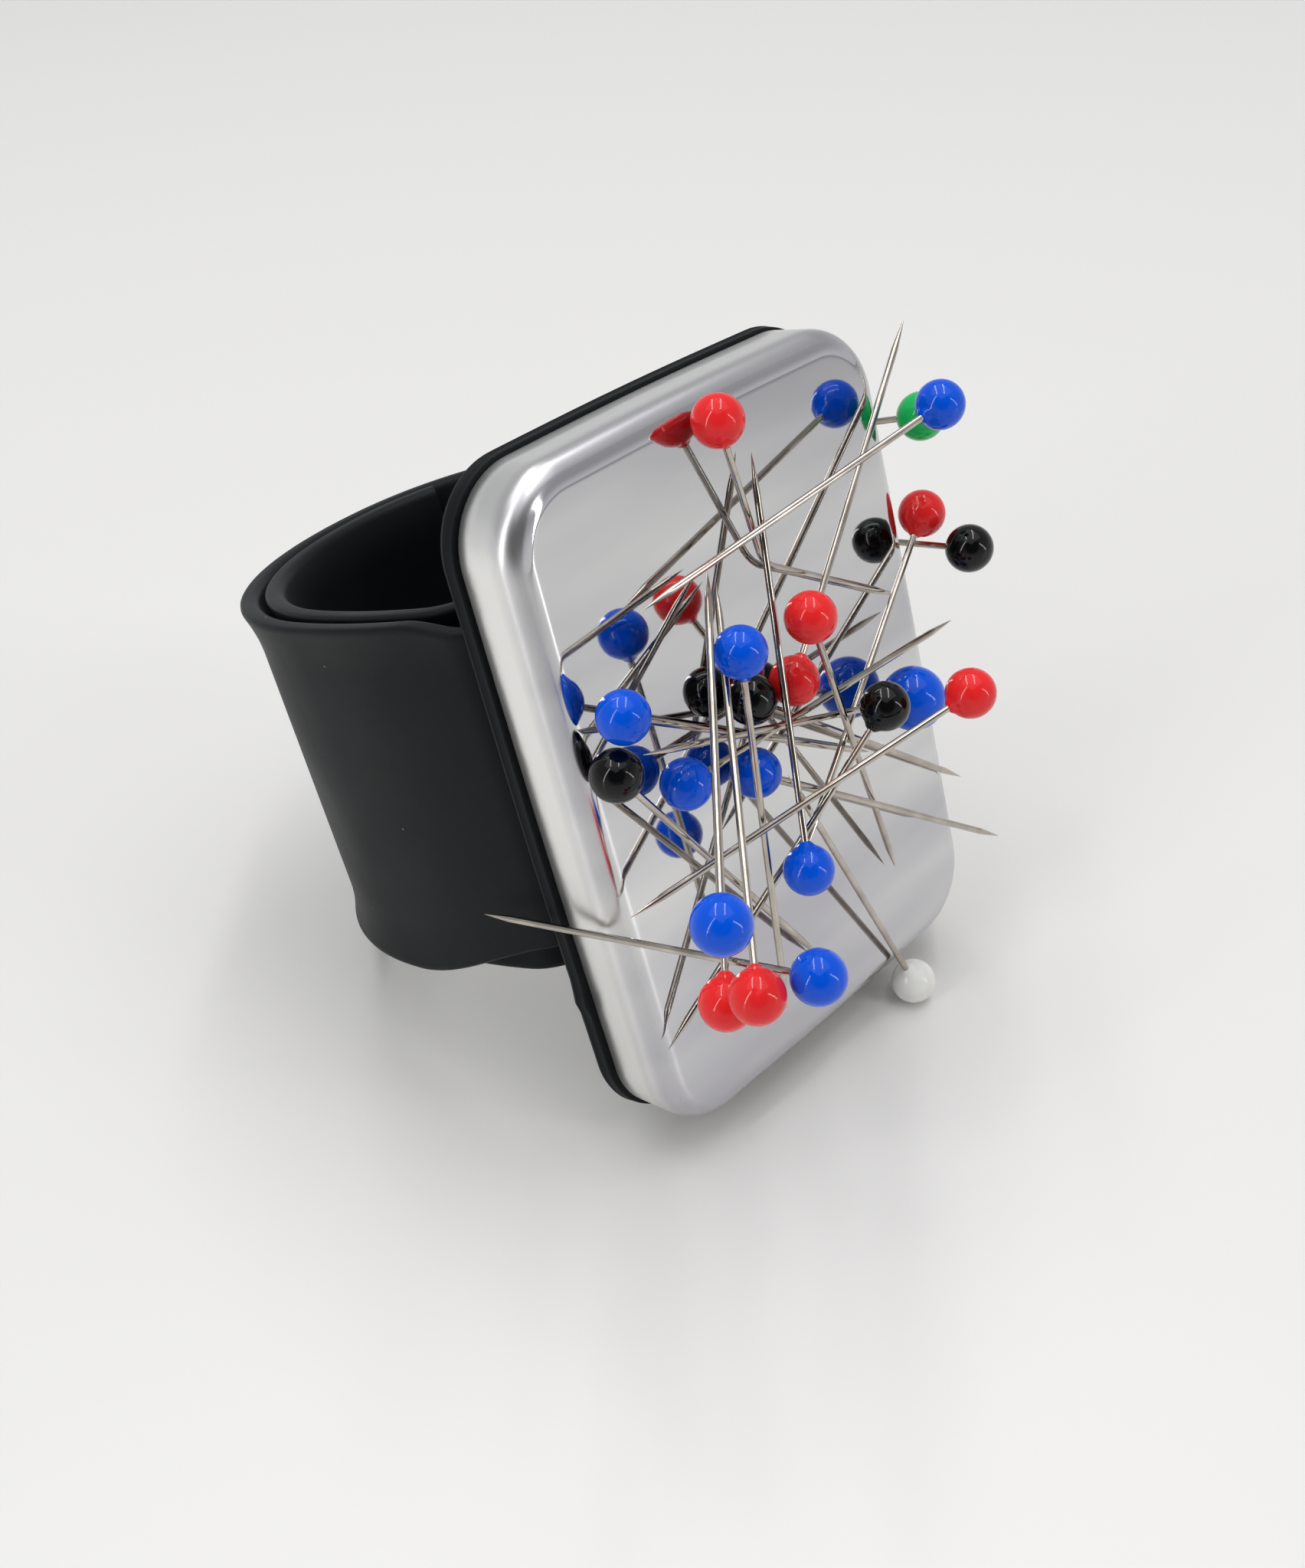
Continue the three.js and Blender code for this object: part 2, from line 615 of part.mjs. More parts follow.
// It leans back on the holder's lower edge and on the lowest edge of the band's far side
function leanAngle() {
  const holderEdge = { up: -CAP_HEIGHT / 2 - HOLDER_OVERHANG, out: -HOLDER_THICKNESS + HOLDER_EDGE_ROUNDING };
  let furthest = 0;
  for (let distance = 0; distance < bandLength; distance += 1) {
    furthest = Math.min(furthest, bandPlace(distance).out);
  }
  const bandEdge = {
    up: bandLift(furthest) - BAND_WIDTH / 2,
    out: furthest - SLEEVE_THICKNESS / 2 - RIM_FLARE + RIM_ROUNDING,
  };
  return Math.atan2(bandEdge.up - holderEdge.up, holderEdge.out - bandEdge.out);
}

function wristPinCushion() {
  const leaning = new THREE.Group();
  leaning.add(holderPieces(), bandPieces(), pins());
  leaning.rotation.x = Math.PI / 2 - leanAngle();
  const whole = new THREE.Group();
  whole.add(leaning);
  whole.updateMatrixWorld(true);
  const box = new THREE.Box3().setFromObject(whole, true);
  leaning.position.set(-(box.min.x + box.max.x) / 2, -(box.min.y + box.max.y) / 2, -box.min.z);
  return whole;
}

export default wristPinCushion();
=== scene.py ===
"""Magnetic wrist pin cushion: a mirror-polished steel cap in a silicone holder on a coiled slap band, with pins.

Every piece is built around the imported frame, in metres, in the frame's own axes.
Places on the product are given in its plate's axes: right, up and out of the face, from the cap's lower edge.
"""

import json
import math

import bmesh
import bpy
from bpy.props import FloatProperty, FloatVectorProperty, PointerProperty
from mathutils import Matrix, Vector


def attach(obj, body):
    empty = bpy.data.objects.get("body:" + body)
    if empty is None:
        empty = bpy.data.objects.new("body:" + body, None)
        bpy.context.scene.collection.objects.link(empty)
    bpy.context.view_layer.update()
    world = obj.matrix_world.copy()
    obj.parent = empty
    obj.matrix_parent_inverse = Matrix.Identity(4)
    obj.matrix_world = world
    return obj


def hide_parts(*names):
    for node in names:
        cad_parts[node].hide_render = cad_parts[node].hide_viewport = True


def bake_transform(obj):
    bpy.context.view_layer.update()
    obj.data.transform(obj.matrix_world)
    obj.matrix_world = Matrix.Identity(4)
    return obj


bl_info = {
    "name": "Magnetic wrist pin cushion",
    "version": (1, 0, 0),
    "blender": (4, 5, 0),
    "location": "View3D > Sidebar > Pin cushion",
    "description": "Builds a magnetic wrist pin cushion with its slap band and ball-head pins",
    "category": "Object",
}

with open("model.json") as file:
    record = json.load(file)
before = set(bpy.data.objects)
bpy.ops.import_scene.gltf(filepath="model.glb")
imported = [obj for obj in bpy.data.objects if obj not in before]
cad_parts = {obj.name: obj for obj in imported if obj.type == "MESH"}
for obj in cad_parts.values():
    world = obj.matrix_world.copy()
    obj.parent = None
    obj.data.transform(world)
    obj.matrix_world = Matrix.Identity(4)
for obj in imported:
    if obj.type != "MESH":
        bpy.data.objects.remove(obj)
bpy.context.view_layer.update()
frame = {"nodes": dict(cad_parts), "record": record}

MM = 0.001

# Steel cap
CAP_WIDTH = 45 * MM
CAP_HEIGHT = 63 * MM
CAP_DEPTH = 6.55 * MM
CAP_CORNER = 7.3 * MM
CAP_SHEET = 0.6 * MM
CAP_SIDE_BOW = 0.2 * MM
CAP_EDGE_ROUNDING = 0.12 * MM

# Silicone holder
HOLDER_THICKNESS = 1.94 * MM
HOLDER_OVERHANG = 0.45 * MM
HOLDER_OVERHANG_AT_TOP = 0.3 * MM
HOLDER_ROUNDING = 0.2 * MM
PARTING_BEAD = 0.1 * MM
FLASH_NUB = 0.35 * MM
FLASH_NUB_PLACE = -16.5 * MM
FLASH_NUB_LENGTH = 0.7 * MM
FLASH_NUB_EDGE = 0.1 * MM
TRIMMED_FROM = -10 * MM
TRIMMED_OVER = 35 * MM
SEAT_GAP = 0.3 * MM
HOLDER_GROOVE = 0.3 * MM
LOCATING_BLOCK_HEIGHT = 1.5 * MM

# Band
BAND_WIDTH = 36.2 * MM
BAND_RISE = 2.5 * MM
BAND_SAG = 0.062
SLEEVE_THICKNESS = 1.9 * MM
RIM_FLARE_REACH = 5 * MM
NECK_LENGTH_AT_TOP = 8 * MM
NECK_LENGTH_AT_BOTTOM = 21 * MM
NECK_DROP_AT_TOP = 1.5 * MM
NECK_RISE_AT_BOTTOM = 4.6 * MM
STRIP_WIDTH = 22 * MM
STRIP_THICKNESS = 0.35 * MM
CHANNEL_CLEARANCE = 0.25 * MM
CHANNEL_OVERLAP = 0.5 * MM
STRIP_END_INSET = 3 * MM
BAND_EMBEDDING = 0.35 * MM
LAYER_GAP = 0.82 * MM
BAND_START_ACROSS = -19.2 * MM
BAND_ROOT_LENGTH = 9.9 * MM
BAND_SEGMENTS = 6
BEND_MARGIN = 2 * MM
ROUTE_STEP = 0.8 * MM
SECTION_STEP = 0.25 * MM

# Pins
PIN_LENGTH = 35.65 * MM
COLLAR_LENGTH = 0.3 * MM
COLLAR_RADIUS = 0.75 * MM
ELBOW_RADIUS = 3.4 * MM

# Where the pins lie on the face, in mm: name, plastic, head centre and the point it aims at
PIN_PLACES = [
    ("blue_pin_1", "blue", (22.9, 22.4, 6.1), (-12.0, 17.5, 1.1)),
    ("green_pin", "green", (24.9, 20.6, 2.1), (23.8, 16.9, -33.4)),
    ("red_pin_1", "red", (24.7, 11.1, 0.4), (-4.4, -8.8, 5.1)),
    ("black_pin_1", "black", (24.3, 8.1, 5.6), (24.2, 8.3, -30.1)),
    ("red_pin_2", "red", (-0.4, 12.4, 7.9), (11.2, -20.5, 0.7)),
    ("blue_pin_2", "blue", (-8.1, 12.7, 7.0), (-9.5, -22.8, 3.6)),
    ("blue_pin_3", "blue", (-19.0, 11.8, 4.0), (10.9, -7.4, 0.7)),
    ("black_pin_2", "black", (-4.1, 5.8, 2.6), (23.4, -16.8, 0.6)),
    ("red_pin_3", "red", (0.7, 5.4, 3.3), (27.3, 28.9, 0.1)),
    ("black_pin_3", "black", (6.7, 0.6, 7.6), (-21.3, -20.2, 0.7)),
    ("red_pin_4", "red", (10.8, 0.8, 13.9), (-22.0, -5.8, 1.6)),
    ("black_pin_4", "black", (-20.5, 7.2, 3.1), (-1.5, -22.9, 0.7)),
    ("blue_pin_4", "blue", (-20.3, -7.1, 20.4), (-25.4, -7.8, -14.9)),
    ("blue_pin_5", "blue", (-13.9, 2.9, 3.2), (21.7, 1.8, 4.2)),
    ("blue_pin_6", "blue", (-5.7, -0.5, 2.8), (22.4, -22.3, 4.9)),
    ("white_pin", "white", (10.9, -34.1, 0.3), (-3.4, -1.7, 4.2)),
    ("large_blue_pin", "blue", (14.7, -3.1, 3.9), (-18.9, 8.6, 5.1)),
    ("blue_pin_7", "blue", (-7.1, -8.3, 8.0), (3.9, 24.9, 0.9)),
    ("red_pin_5", "red", (-24.2, -9.1, 13.7), (-4.0, 17.2, 0.7)),
    ("red_pin_6", "red", (-24.6, -6.8, 18.0), (-3.3, 16.1, 0.8)),
    ("blue_pin_8", "blue", (-29.9, 4.2, 22.5), (-4.5, 17.7, 1.4)),
]
BENT_PIN_PATH = [(-0.8, 29.3, 2.7), (2.6, 15.3, 0.75), (19.0, 5.2, 0.65)]

# Camera, fitted to the photograph: its axes and place in the plate's axes, in mm
CAMERA_RIGHT = Vector((0.68787, -0.23595, 0.68641))
CAMERA_DOWN = Vector((-0.46458, -0.86972, 0.16660))
CAMERA_FORWARD = Vector((0.55767, -0.43349, -0.70787))
CAMERA_PLACE = Vector((-90.674, 62.462, 103.121))
PHOTO_WIDTH = 1704
PHOTO_HEIGHT = 2047
FOCAL_PIXELS = 2133.5
CENTRE_PIXELS = (852.2, 1014.5)

# Studio, in metres: the narrow lights run between two points each
FLOOR_REACH = 3.0
CEILING_PLACE = Vector((0, 0, 1.6))
CEILING_SIZE = 2.0
TUBE_WIDTH = 0.1
TUBES = [
    ((-0.57, 0.07, 1.37), (0.41, 0.80, 1.20)),
    ((-0.105, -0.49, 1.37), (0.77, 0.37, 1.23)),
    ((-0.74, 0.01, 1.30), (-1.5, 0.16, 0.08)),
    ((0.18, -1.10, 0.93), (0.66, -1.25, 0.07)),
]

MOUNTS = {mount["name"]: mount for mount in frame["record"]["mounts"]}
FACE_OUT = Vector(MOUNTS["magnetic_face"]["axis"])
PLATE_UP = Vector(MOUNTS["wrist_loop"]["axis"])
PLATE_RIGHT = PLATE_UP.cross(FACE_OUT)
FACE_POINT = Vector((-17.9, 28.85, 6.55)) * MM


def turned(vector):
    """A direction in the plate's axes, turned to the frame's."""
    return PLATE_RIGHT * vector[0] + PLATE_UP * vector[1] + FACE_OUT * vector[2]


PLATE_ORIGIN = Vector(MOUNTS["magnetic_face"]["pos_m"]) - turned(FACE_POINT)


def placed(across, up, out):
    """A point in the plate's axes, in metres, moved to the frame's."""
    return PLATE_ORIGIN + turned((across, up, out))


def on_face(place):
    """A pin's place in mm on the face."""
    return placed(place[0] * MM, place[1] * MM, place[2] * MM + CAP_DEPTH)


# Materials


def linear(hex_colour):
    """An sRGB hex colour as linear RGBA."""
    parts = [int(hex_colour[i : i + 2], 16) / 255 for i in (1, 3, 5)]
    return [p / 12.92 if p <= 0.04045 else ((p + 0.055) / 1.055) ** 2.4 for p in parts] + [1.0]


def add_node(tree, kind, settings=None, inputs=None):
    """Adds a node with its settings, and its inputs' values or links. A node stands for its first output."""
    node = tree.nodes.new(kind)
    for name, value in (settings or {}).items():
        setattr(node, name, value)
    for name, value in (inputs or {}).items():
        socket = node.inputs[name]
        if isinstance(value, bpy.types.Node):
            value = value.outputs[0]
        if isinstance(value, bpy.types.NodeSocket):
            tree.links.new(value, socket)
        else:
            socket.default_value = value
    return node


def new_material(name):
    """A material with a Principled shader, its output and Object coordinates."""
    material = bpy.data.materials.new(name)
    material.use_nodes = True
    tree = material.node_tree
    tree.nodes.clear()
    shader = add_node(tree, "ShaderNodeBsdfPrincipled")
    add_node(tree, "ShaderNodeOutputMaterial", inputs={"Surface": shader.outputs["BSDF"]})
    coordinates = add_node(tree, "ShaderNodeTexCoord")
    return material, tree, shader, coordinates.outputs["Object"]


def set_shader(shader, values):
    """Sets constants on the shader's own sockets."""
    for name, value in values.items():
        shader.inputs[name].default_value = value


def mottled(tree, shader, place, size, detail, tones, roughness=None):
    """Two colours in cloudy patches of a size, and a roughness that follows them. Returns the mixed colour."""
    patches = add_node(tree, "ShaderNodeTexNoise", inputs={"Vector": place, "Scale": 1 / size, "Detail": detail})
    mixed = add_node(tree, "ShaderNodeMix", {"data_type": "RGBA"}, {0: patches, 6: tones[0], 7: tones[1]})
    tree.links.new(mixed.outputs[2], shader.inputs["Base Color"])
    if roughness:
        span = {"From Min": 0.3, "From Max": 0.7, "To Min": roughness[0], "To Max": roughness[1]}
        dulled = add_node(tree, "ShaderNodeMapRange", inputs={"Value": patches, **span})
        tree.links.new(dulled.outputs["Result"], shader.inputs["Roughness"])
    return mixed.outputs[2]


def grained(tree, shader, place, size, detail, depth, strength=1.0, under=None):
    """A relief of bumps of a size and a depth, over another relief if there is one. Returns its normals."""
    bumps = add_node(tree, "ShaderNodeTexNoise", inputs={"Vector": place, "Scale": 1 / size, "Detail": detail})
    relief = add_node(tree, "ShaderNodeBump", inputs={"Height": bumps, "Distance": depth, "Strength": strength})
    if under:
        tree.links.new(under, relief.inputs["Normal"])
    tree.links.new(relief.outputs["Normal"], shader.inputs["Normal"])
    return relief.outputs["Normal"]


def mirror_stainless():
    """Stainless steel drawn from sheet and polished by buffing: a mirror on the face, hazier and rippled on the
    drawn walls. Its colour also carries painted reflections: soft diagonal streaks of darker and lighter grey
    across it, and a paler tone on the walls for the bright room they reflect.
    """
    material, tree, shader, place = new_material("Buffed stainless steel")
    set_shader(shader, {"Metallic": 1.0})
    plate = add_node(tree, "ShaderNodeAttribute", {"attribute_name": "plate"}).outputs["Vector"]
    # Painted reflection: stretched diagonal noise mixes a purple-grey and a light grey into the colour, standing
    # in for streaks of the room reflected in the face
    stretch = {"Rotation": (0, 0, math.radians(-8)), "Scale": (1 / (70 * MM), 1 / (14 * MM), 1)}
    along = add_node(tree, "ShaderNodeMapping", inputs={"Vector": plate, **stretch})
    streaks = add_node(tree, "ShaderNodeTexNoise", inputs={"Vector": along, "Scale": 1.0, "Detail": 3.0})
    span = {"From Min": 0.35, "From Max": 0.65, "To Min": 0.0, "To Max": 1.0}
    painted_reflection_streaks = add_node(tree, "ShaderNodeMapRange", inputs={"Value": streaks, **span})
    tones = {0: painted_reflection_streaks, 6: linear("#BCBBC0"), 7: linear("#DEDEDD")}
    tone = add_node(tree, "ShaderNodeMix", {"data_type": "RGBA"}, tones)
    out = add_node(tree, "ShaderNodeSeparateXYZ", inputs={"Vector": plate}).outputs["Z"]
    span = {"From Min": CAP_DEPTH - 1.0 * MM, "From Max": CAP_DEPTH - 3.0 * MM, "To Min": 0.0, "To Max": 1.0}
    at_wall = add_node(tree, "ShaderNodeMapRange", inputs={"Value": out, **span})
    # Painted light: the walls' colour is mixed towards a near-white, standing in for the bright room that the
    # walls reflect
    tones = {0: at_wall, 6: tone.outputs[2], 7: linear("#EFEFEC")}
    pale = add_node(tree, "ShaderNodeMix", {"data_type": "RGBA"}, tones)
    tree.links.new(pale.outputs[2], shader.inputs["Base Color"])
    haze = add_node(tree, "ShaderNodeTexNoise", inputs={"Vector": place, "Scale": 1 / (9 * MM), "Detail": 4.0})
    span = {"From Min": CAP_DEPTH - 0.4 * MM, "From Max": CAP_DEPTH - 0.001 * MM, "To Min": 0.3, "To Max": 0.03}
    eased = {"interpolation_type": "SMOOTHSTEP"}
    wall = add_node(tree, "ShaderNodeMapRange", eased, {"Value": out, **span})
    rough = add_node(tree, "ShaderNodeMath", {"operation": "MULTIPLY_ADD"}, {0: haze, 1: 0.03, 2: wall})
    tree.links.new(rough.outputs["Value"], shader.inputs["Roughness"])
    dents = grained(tree, shader, place, 16 * MM, 1.5, 0.03 * MM)
    grained(tree, shader, place, 2.5 * MM, 2.0, 0.05 * MM, at_wall, dents)
    return material


def moulded_silicone(colour):
    """Silicone rubber from a blasted mould: a dull skin with fine grain, a soft sheen and a few specks of lint."""
    material, tree, shader, place = new_material("Moulded silicone rubber")
    tones = (list(colour), [c * 1.7 for c in colour[:3]] + [1.0])
    skin = mottled(tree, shader, place, 12 * MM, 4.0, tones, (0.46, 0.56))
    specks = add_node(tree, "ShaderNodeTexVoronoi", inputs={"Vector": place, "Scale": 1 / (4.2 * MM)})
    span = {"From Min": 0.016, "From Max": 0.026, "To Min": 1.0, "To Max": 0.0}
    lint = add_node(tree, "ShaderNodeMapRange", inputs={"Value": specks.outputs["Distance"], **span})
    tones = {0: lint, 6: skin, 7: linear("#8A8E90")}
    speckled = add_node(tree, "ShaderNodeMix", {"data_type": "RGBA"}, tones)
    tree.links.new(speckled.outputs[2], shader.inputs["Base Color"])
    grained(tree, shader, place, 0.35 * MM, 2.0, 0.012 * MM, 0.6)
    set_shader(shader, {"IOR": 1.41, "Specular IOR Level": 0.22, "Sheen Weight": 0.02, "Sheen Roughness": 0.5})
    return material


def polystyrene(name, colour):
    """Polystyrene moulded on the wire: a hard gloss over colour that light enters a little way."""
    material, tree, shader, place = new_material(name)
    tones = ([c * 0.8 for c in colour[:3]] + [1.0], list(colour))
    mottled(tree, shader, place, 1.6 * MM, 2.0, tones, (0.03, 0.08))
    grained(tree, shader, place, 1.1 * MM, 1.0, 0.015 * MM)
    set_shader(shader, {"IOR": 1.55, "Specular IOR Level": 0.26})
    set_shader(shader, {"Subsurface Weight": 0.06, "Subsurface Scale": 1.0 * MM})
    return material


def nickelled_wire():
    """Drawn steel wire with a nickel plating: bright and slightly warm, with cloudy patches of a darker tone.
    These are painted shade, standing in for the dark reflections along the wire.
    """
    material, tree, shader, place = new_material("Nickel-plated steel wire")
    # Painted shade: the darker of the two tones stands in for dark reflections seen along the wire
    mottled(tree, shader, place, 2.5 * MM, 3.0, (linear("#8F867C"), linear("#DAD2C7")), (0.05, 0.13))
    set_shader(shader, {"Metallic": 1.0})
    return material


def rolled_spring_steel():
    """Spring steel rolled to strip: a grey metal mottled by rolling."""
    material, tree, shader, place = new_material("Rolled spring steel")
    mottled(tree, shader, place, 0.6 * MM, 4.0, (linear("#7E8286"), linear("#A2A6AA")))
    set_shader(shader, {"Metallic": 1.0, "Roughness": 0.34})
    return material


def sintered_ferrite():
    """Ferrite pressed and fired: a dark grey ceramic with a fine dry grain."""
    material, tree, shader, place = new_material("Sintered ferrite")
    mottled(tree, shader, place, 0.5 * MM, 4.0, (linear("#2C2D2F"), linear("#48494B")))
    grained(tree, shader, place, 0.5 * MM, 4.0, 0.03 * MM)
    set_shader(shader, {"Roughness": 0.8})
    return material


def white_laminate(colour):
    """Laminate pressed on board: an even pale sheet with a dull gloss."""
    material, _, shader, _ = new_material("White laminate")
    set_shader(shader, {"Base Color": colour, "Roughness": 0.4, "IOR": 1.5})
    return material


# Meshes


def new_object(name, mesh):
    """A mesh object in the scene, at the origin."""
    made = bpy.data.objects.new(name, mesh)
    bpy.context.scene.collection.objects.link(made)
    return made


def loft(name, rings, material):
    """A closed skin over rings of points in the plate's axes, which it keeps as an attribute."""
    count = len(rings[0])
    points = [point for ring in rings for point in ring]
    faces = []
    for low in range(0, len(points) - count, count):
        for i in range(count):
            j = (i + 1) % count
            faces.append((low + i, low + j, low + count + j, low + count + i))
    faces.append(tuple(reversed(range(count))))
    faces.append(tuple(range(len(points) - count, len(points))))
    mesh = bpy.data.meshes.new(name)
    mesh.from_pydata([placed(*point) for point in points], [], faces)
    shape = bmesh.new()
    shape.from_mesh(mesh)
    bmesh.ops.recalc_face_normals(shape, faces=shape.faces)
    for face in shape.faces:
        face.smooth = True
    shape.to_mesh(mesh)
    shape.free()
    kept = mesh.attributes.new("plate", "FLOAT_VECTOR", "POINT")
    kept.data.foreach_set("vector", [value for point in points for value in point])
    mesh.materials.append(material)
    return new_object(name, mesh)


def socket_inputs(tree, sockets):
    """Adds named inputs to a tree's interface: numbers and switches with a default, others by their kind."""
    for name, value in sockets.items():
        kind = {float: "NodeSocketFloat", bool: "NodeSocketBool"}.get(type(value), value)
        made = tree.interface.new_socket(name, in_out="INPUT", socket_type=kind)
        if kind != value:
            made.default_value = value


def close_tree(tree, geometry, finish):
    """Realizes what the tree has made, gives it its finish and passes it out."""
    tree.interface.new_socket("Piece", in_out="OUTPUT", socket_type="NodeSocketGeometry")
    solid = add_node(tree, "GeometryNodeRealizeInstances", inputs={"Geometry": geometry})
    finished = add_node(tree, "GeometryNodeSetMaterial", inputs={"Geometry": solid, "Material": finish})
    add_node(tree, "NodeGroupOutput", inputs={"Piece": finished})


def grown(name, points, tree, values):
    """Grows a mesh from a line of points with the tree and its named inputs, as a plain mesh object."""
    line = bpy.data.meshes.new(name)
    line.from_pydata([tuple(p) for p in points], [(i, i + 1) for i in range(len(points) - 1)], [])
    made = new_object(name, line)
    modifier = made.modifiers.new("Growth", "NODES")
    modifier.node_group = tree
    for item in tree.interface.items_tree:
        if item.in_out == "INPUT" and item.name in values:
            modifier[item.identifier] = values[item.name]
    graph = bpy.context.evaluated_depsgraph_get()
    mesh = bpy.data.meshes.new_from_object(made.evaluated_get(graph), depsgraph=graph)
    made.modifiers.clear()
    made.data = mesh
    mesh.name = name
    bpy.data.meshes.remove(line)
    return made


def cut_away(body, tool):
    """Takes a closed tool's volume out of a closed body, and deletes the tool."""
    modifier = body.modifiers.new("Cut", "BOOLEAN")
    modifier.operation = "DIFFERENCE"
    modifier.solver = "EXACT"
    modifier.object = tool
    graph = bpy.context.evaluated_depsgraph_get()
    mesh = bpy.data.meshes.new_from_object(body.evaluated_get(graph), depsgraph=graph)
    body.modifiers.clear()
    old = body.data
    body.data = mesh
    mesh.name = body.name
    bpy.data.meshes.remove(old)
    bpy.data.objects.remove(tool)


def cap_outline(inset, corner_steps=18, side_steps=40):
    """The cap's rounded rectangle with slightly bowed sides, drawn in by an inset."""
    half_width = CAP_WIDTH / 2 - inset
    half_height = CAP_HEIGHT / 2 - inset
    corner = max(CAP_CORNER - inset, 0.5 * MM)
    centres = [(1, 1), (-1, 1), (-1, -1), (1, -1)]
    points = []
    for turn, (sign_x, sign_y) in enumerate(centres):
        centre = (sign_x * (half_width - corner), sign_y * (half_height - corner))
        for step in range(corner_steps + 1):
            angle = math.pi / 2 * (turn + step / corner_steps)
            points.append((centre[0] + corner * math.cos(angle), centre[1] + corner * math.sin(angle)))
        start = points[-1]
        following = centres[(turn + 1) % 4]
        angle = math.pi / 2 * (turn + 1)
        end = (
            following[0] * (half_width - corner) + corner * math.cos(angle),
            following[1] * (half_height - corner) + corner * math.sin(angle),
        )
        out = Vector((end[1] - start[1], start[0] - end[0])).normalized()
        for step in range(1, side_steps):
            share = step / side_steps
            bow = CAP_SIDE_BOW * math.sin(math.pi * share)
            points.append(
                (
                    start[0] + (end[0] - start[0]) * share + out.x * bow,
                    start[1] + (end[1] - start[1]) * share + out.y * bow,
                )
            )
    return points


def outline_ring(inset, out):
    """The cap's outline as a ring of points in the plate's axes."""
    return [(x, y, out) for x, y in cap_outline(inset)]


def shoulder_rings(inset, face, shoulder, edge_rounding):
    """Rings from the sheet's lower edge up its wall, over the shoulder and a little way onto the face."""
    rings = [
        outline_ring(inset + edge_rounding, 0),
        outline_ring(inset, abs(edge_rounding)),
        outline_ring(inset, (face - shoulder) / 2),
    ]
    steps = 20
    for step in range(steps + 1):
        angle = math.pi / 2 * step / steps
        across = inset + shoulder * (1 - math.cos(angle))
        rings.append(outline_ring(across, face - shoulder + shoulder * math.sin(angle)))
    rings.append(outline_ring(inset + shoulder + 0.3 * MM, face))
    return rings


def holder_ring(growth, out):
    """A ring round the holder, which is trimmed closer at its top and has a nub of flash at its left."""
    rings = zip(cap_outline(-HOLDER_OVERHANG - growth), cap_outline(-HOLDER_OVERHANG_AT_TOP - growth))
    points = []
    for wide, close in rings:
        share = min(max((wide[1] - TRIMMED_FROM) / TRIMMED_OVER, 0), 1)
        share = share * share * (3 - 2 * share)
        x = wide[0] + (close[0] - wide[0]) * share
        y = wide[1] + (close[1] - wide[1]) * share
        if x < 0 and growth > -FLASH_NUB_EDGE:
            x -= FLASH_NUB * math.exp(-(((y - FLASH_NUB_PLACE) / FLASH_NUB_LENGTH) ** 2))
        points.append((x, y, out))
    return points


def holder_rings():
    """The holder's outside from its back up to the groove, with a parting bead near the back."""
    back, front = -HOLDER_THICKNESS, -HOLDER_GROOVE
    rings = []
    steps = 5
    for step in range(steps + 1):
        angle = math.pi / 2 * step / steps
        growth = -HOLDER_ROUNDING * (1 - math.sin(angle))
        rings.append(holder_ring(growth, back + HOLDER_ROUNDING * (1 - math.cos(angle))))
    for share, growth in ((0.2, 0), (0.25, 0.8), (0.3, 1), (0.35, 0.8), (0.4, 0)):
        rings.append(holder_ring(PARTING_BEAD * growth, back + (front - back) * share))
    for step in range(steps + 1):
        angle = math.pi / 2 * step / steps
        growth = -HOLDER_ROUNDING * (1 - math.cos(angle))
        rings.append(holder_ring(growth, front - HOLDER_ROUNDING * (1 - math.sin(angle))))
    return rings


def band_arcs():
    """The band's route seen along its width: radius and turn in radians, or a straight length."""
    layer = SLEEVE_THICKNESS + LAYER_GAP
    degrees = math.radians
    return [
        (3 * MM, degrees(72)),
        (61 * MM, degrees(18)),
        (27 * MM, degrees(90)),
        (16 * MM, degrees(65)),
        (50 * MM, degrees(25)),
        (14 * MM, degrees(90)),
        (None, 23.4 * MM),
        (4.6 * MM, degrees(76)),
        (61 * MM - layer, degrees(14)),
        (27 * MM - layer, degrees(90)),
        (14 * MM, degrees(27)),
    ]


def arc_length(arc):
    """The length of one arc or straight of the route."""
    radius, turn = arc
    return turn if radius is None else radius * turn


BAND_ARCS = band_arcs()
BAND_LENGTH = sum(arc_length(arc) for arc in BAND_ARCS)
BAND_SEGMENT = (BAND_LENGTH - BAND_ROOT_LENGTH) / BAND_SEGMENTS
BAND_CENTRE_DEPTH = -HOLDER_THICKNESS - SLEEVE_THICKNESS / 2 + BAND_EMBEDDING


def band_place(distance):
    """Across, out and heading of the band's centre line at a distance along it."""
    across, out, heading = BAND_START_ACROSS, BAND_CENTRE_DEPTH, math.pi
    if distance < 0:
        return across - distance, out, heading
    left = distance
    for radius, turn in BAND_ARCS:
        length = min(arc_length((radius, turn)), left)
        if radius is None:
            across += math.cos(heading) * length
            out += math.sin(heading) * length
        else:
            turned_by = length / radius
            across += radius * (math.sin(heading + turned_by) - math.sin(heading))
            out += radius * (math.cos(heading) - math.cos(heading + turned_by))
            heading += turned_by
        left -= length
        if left <= 1e-9:
            break
    return across, out, heading


def band_point(distance):
    """A point on the band's centre line, in the frame."""
    across, out, _ = band_place(distance)
    return placed(across, BAND_RISE + BAND_SAG * out, out)


def band_stations(start, end, step):
    """Distances along the band, closer together where it bends tightly."""
    stations, begin = [], 0.0
    for radius, turn in BAND_ARCS:
        length = arc_length((radius, turn))
        finest = step if radius is None or radius > 10 * MM else step * 0.4
        count = max(1, math.ceil(length / finest))
        stations += [begin + length * i / count for i in range(count)]
        begin += length
    between = [s for s in stations if start + step * 0.2 < s < end - step * 0.2]
    return [start, *between, end]


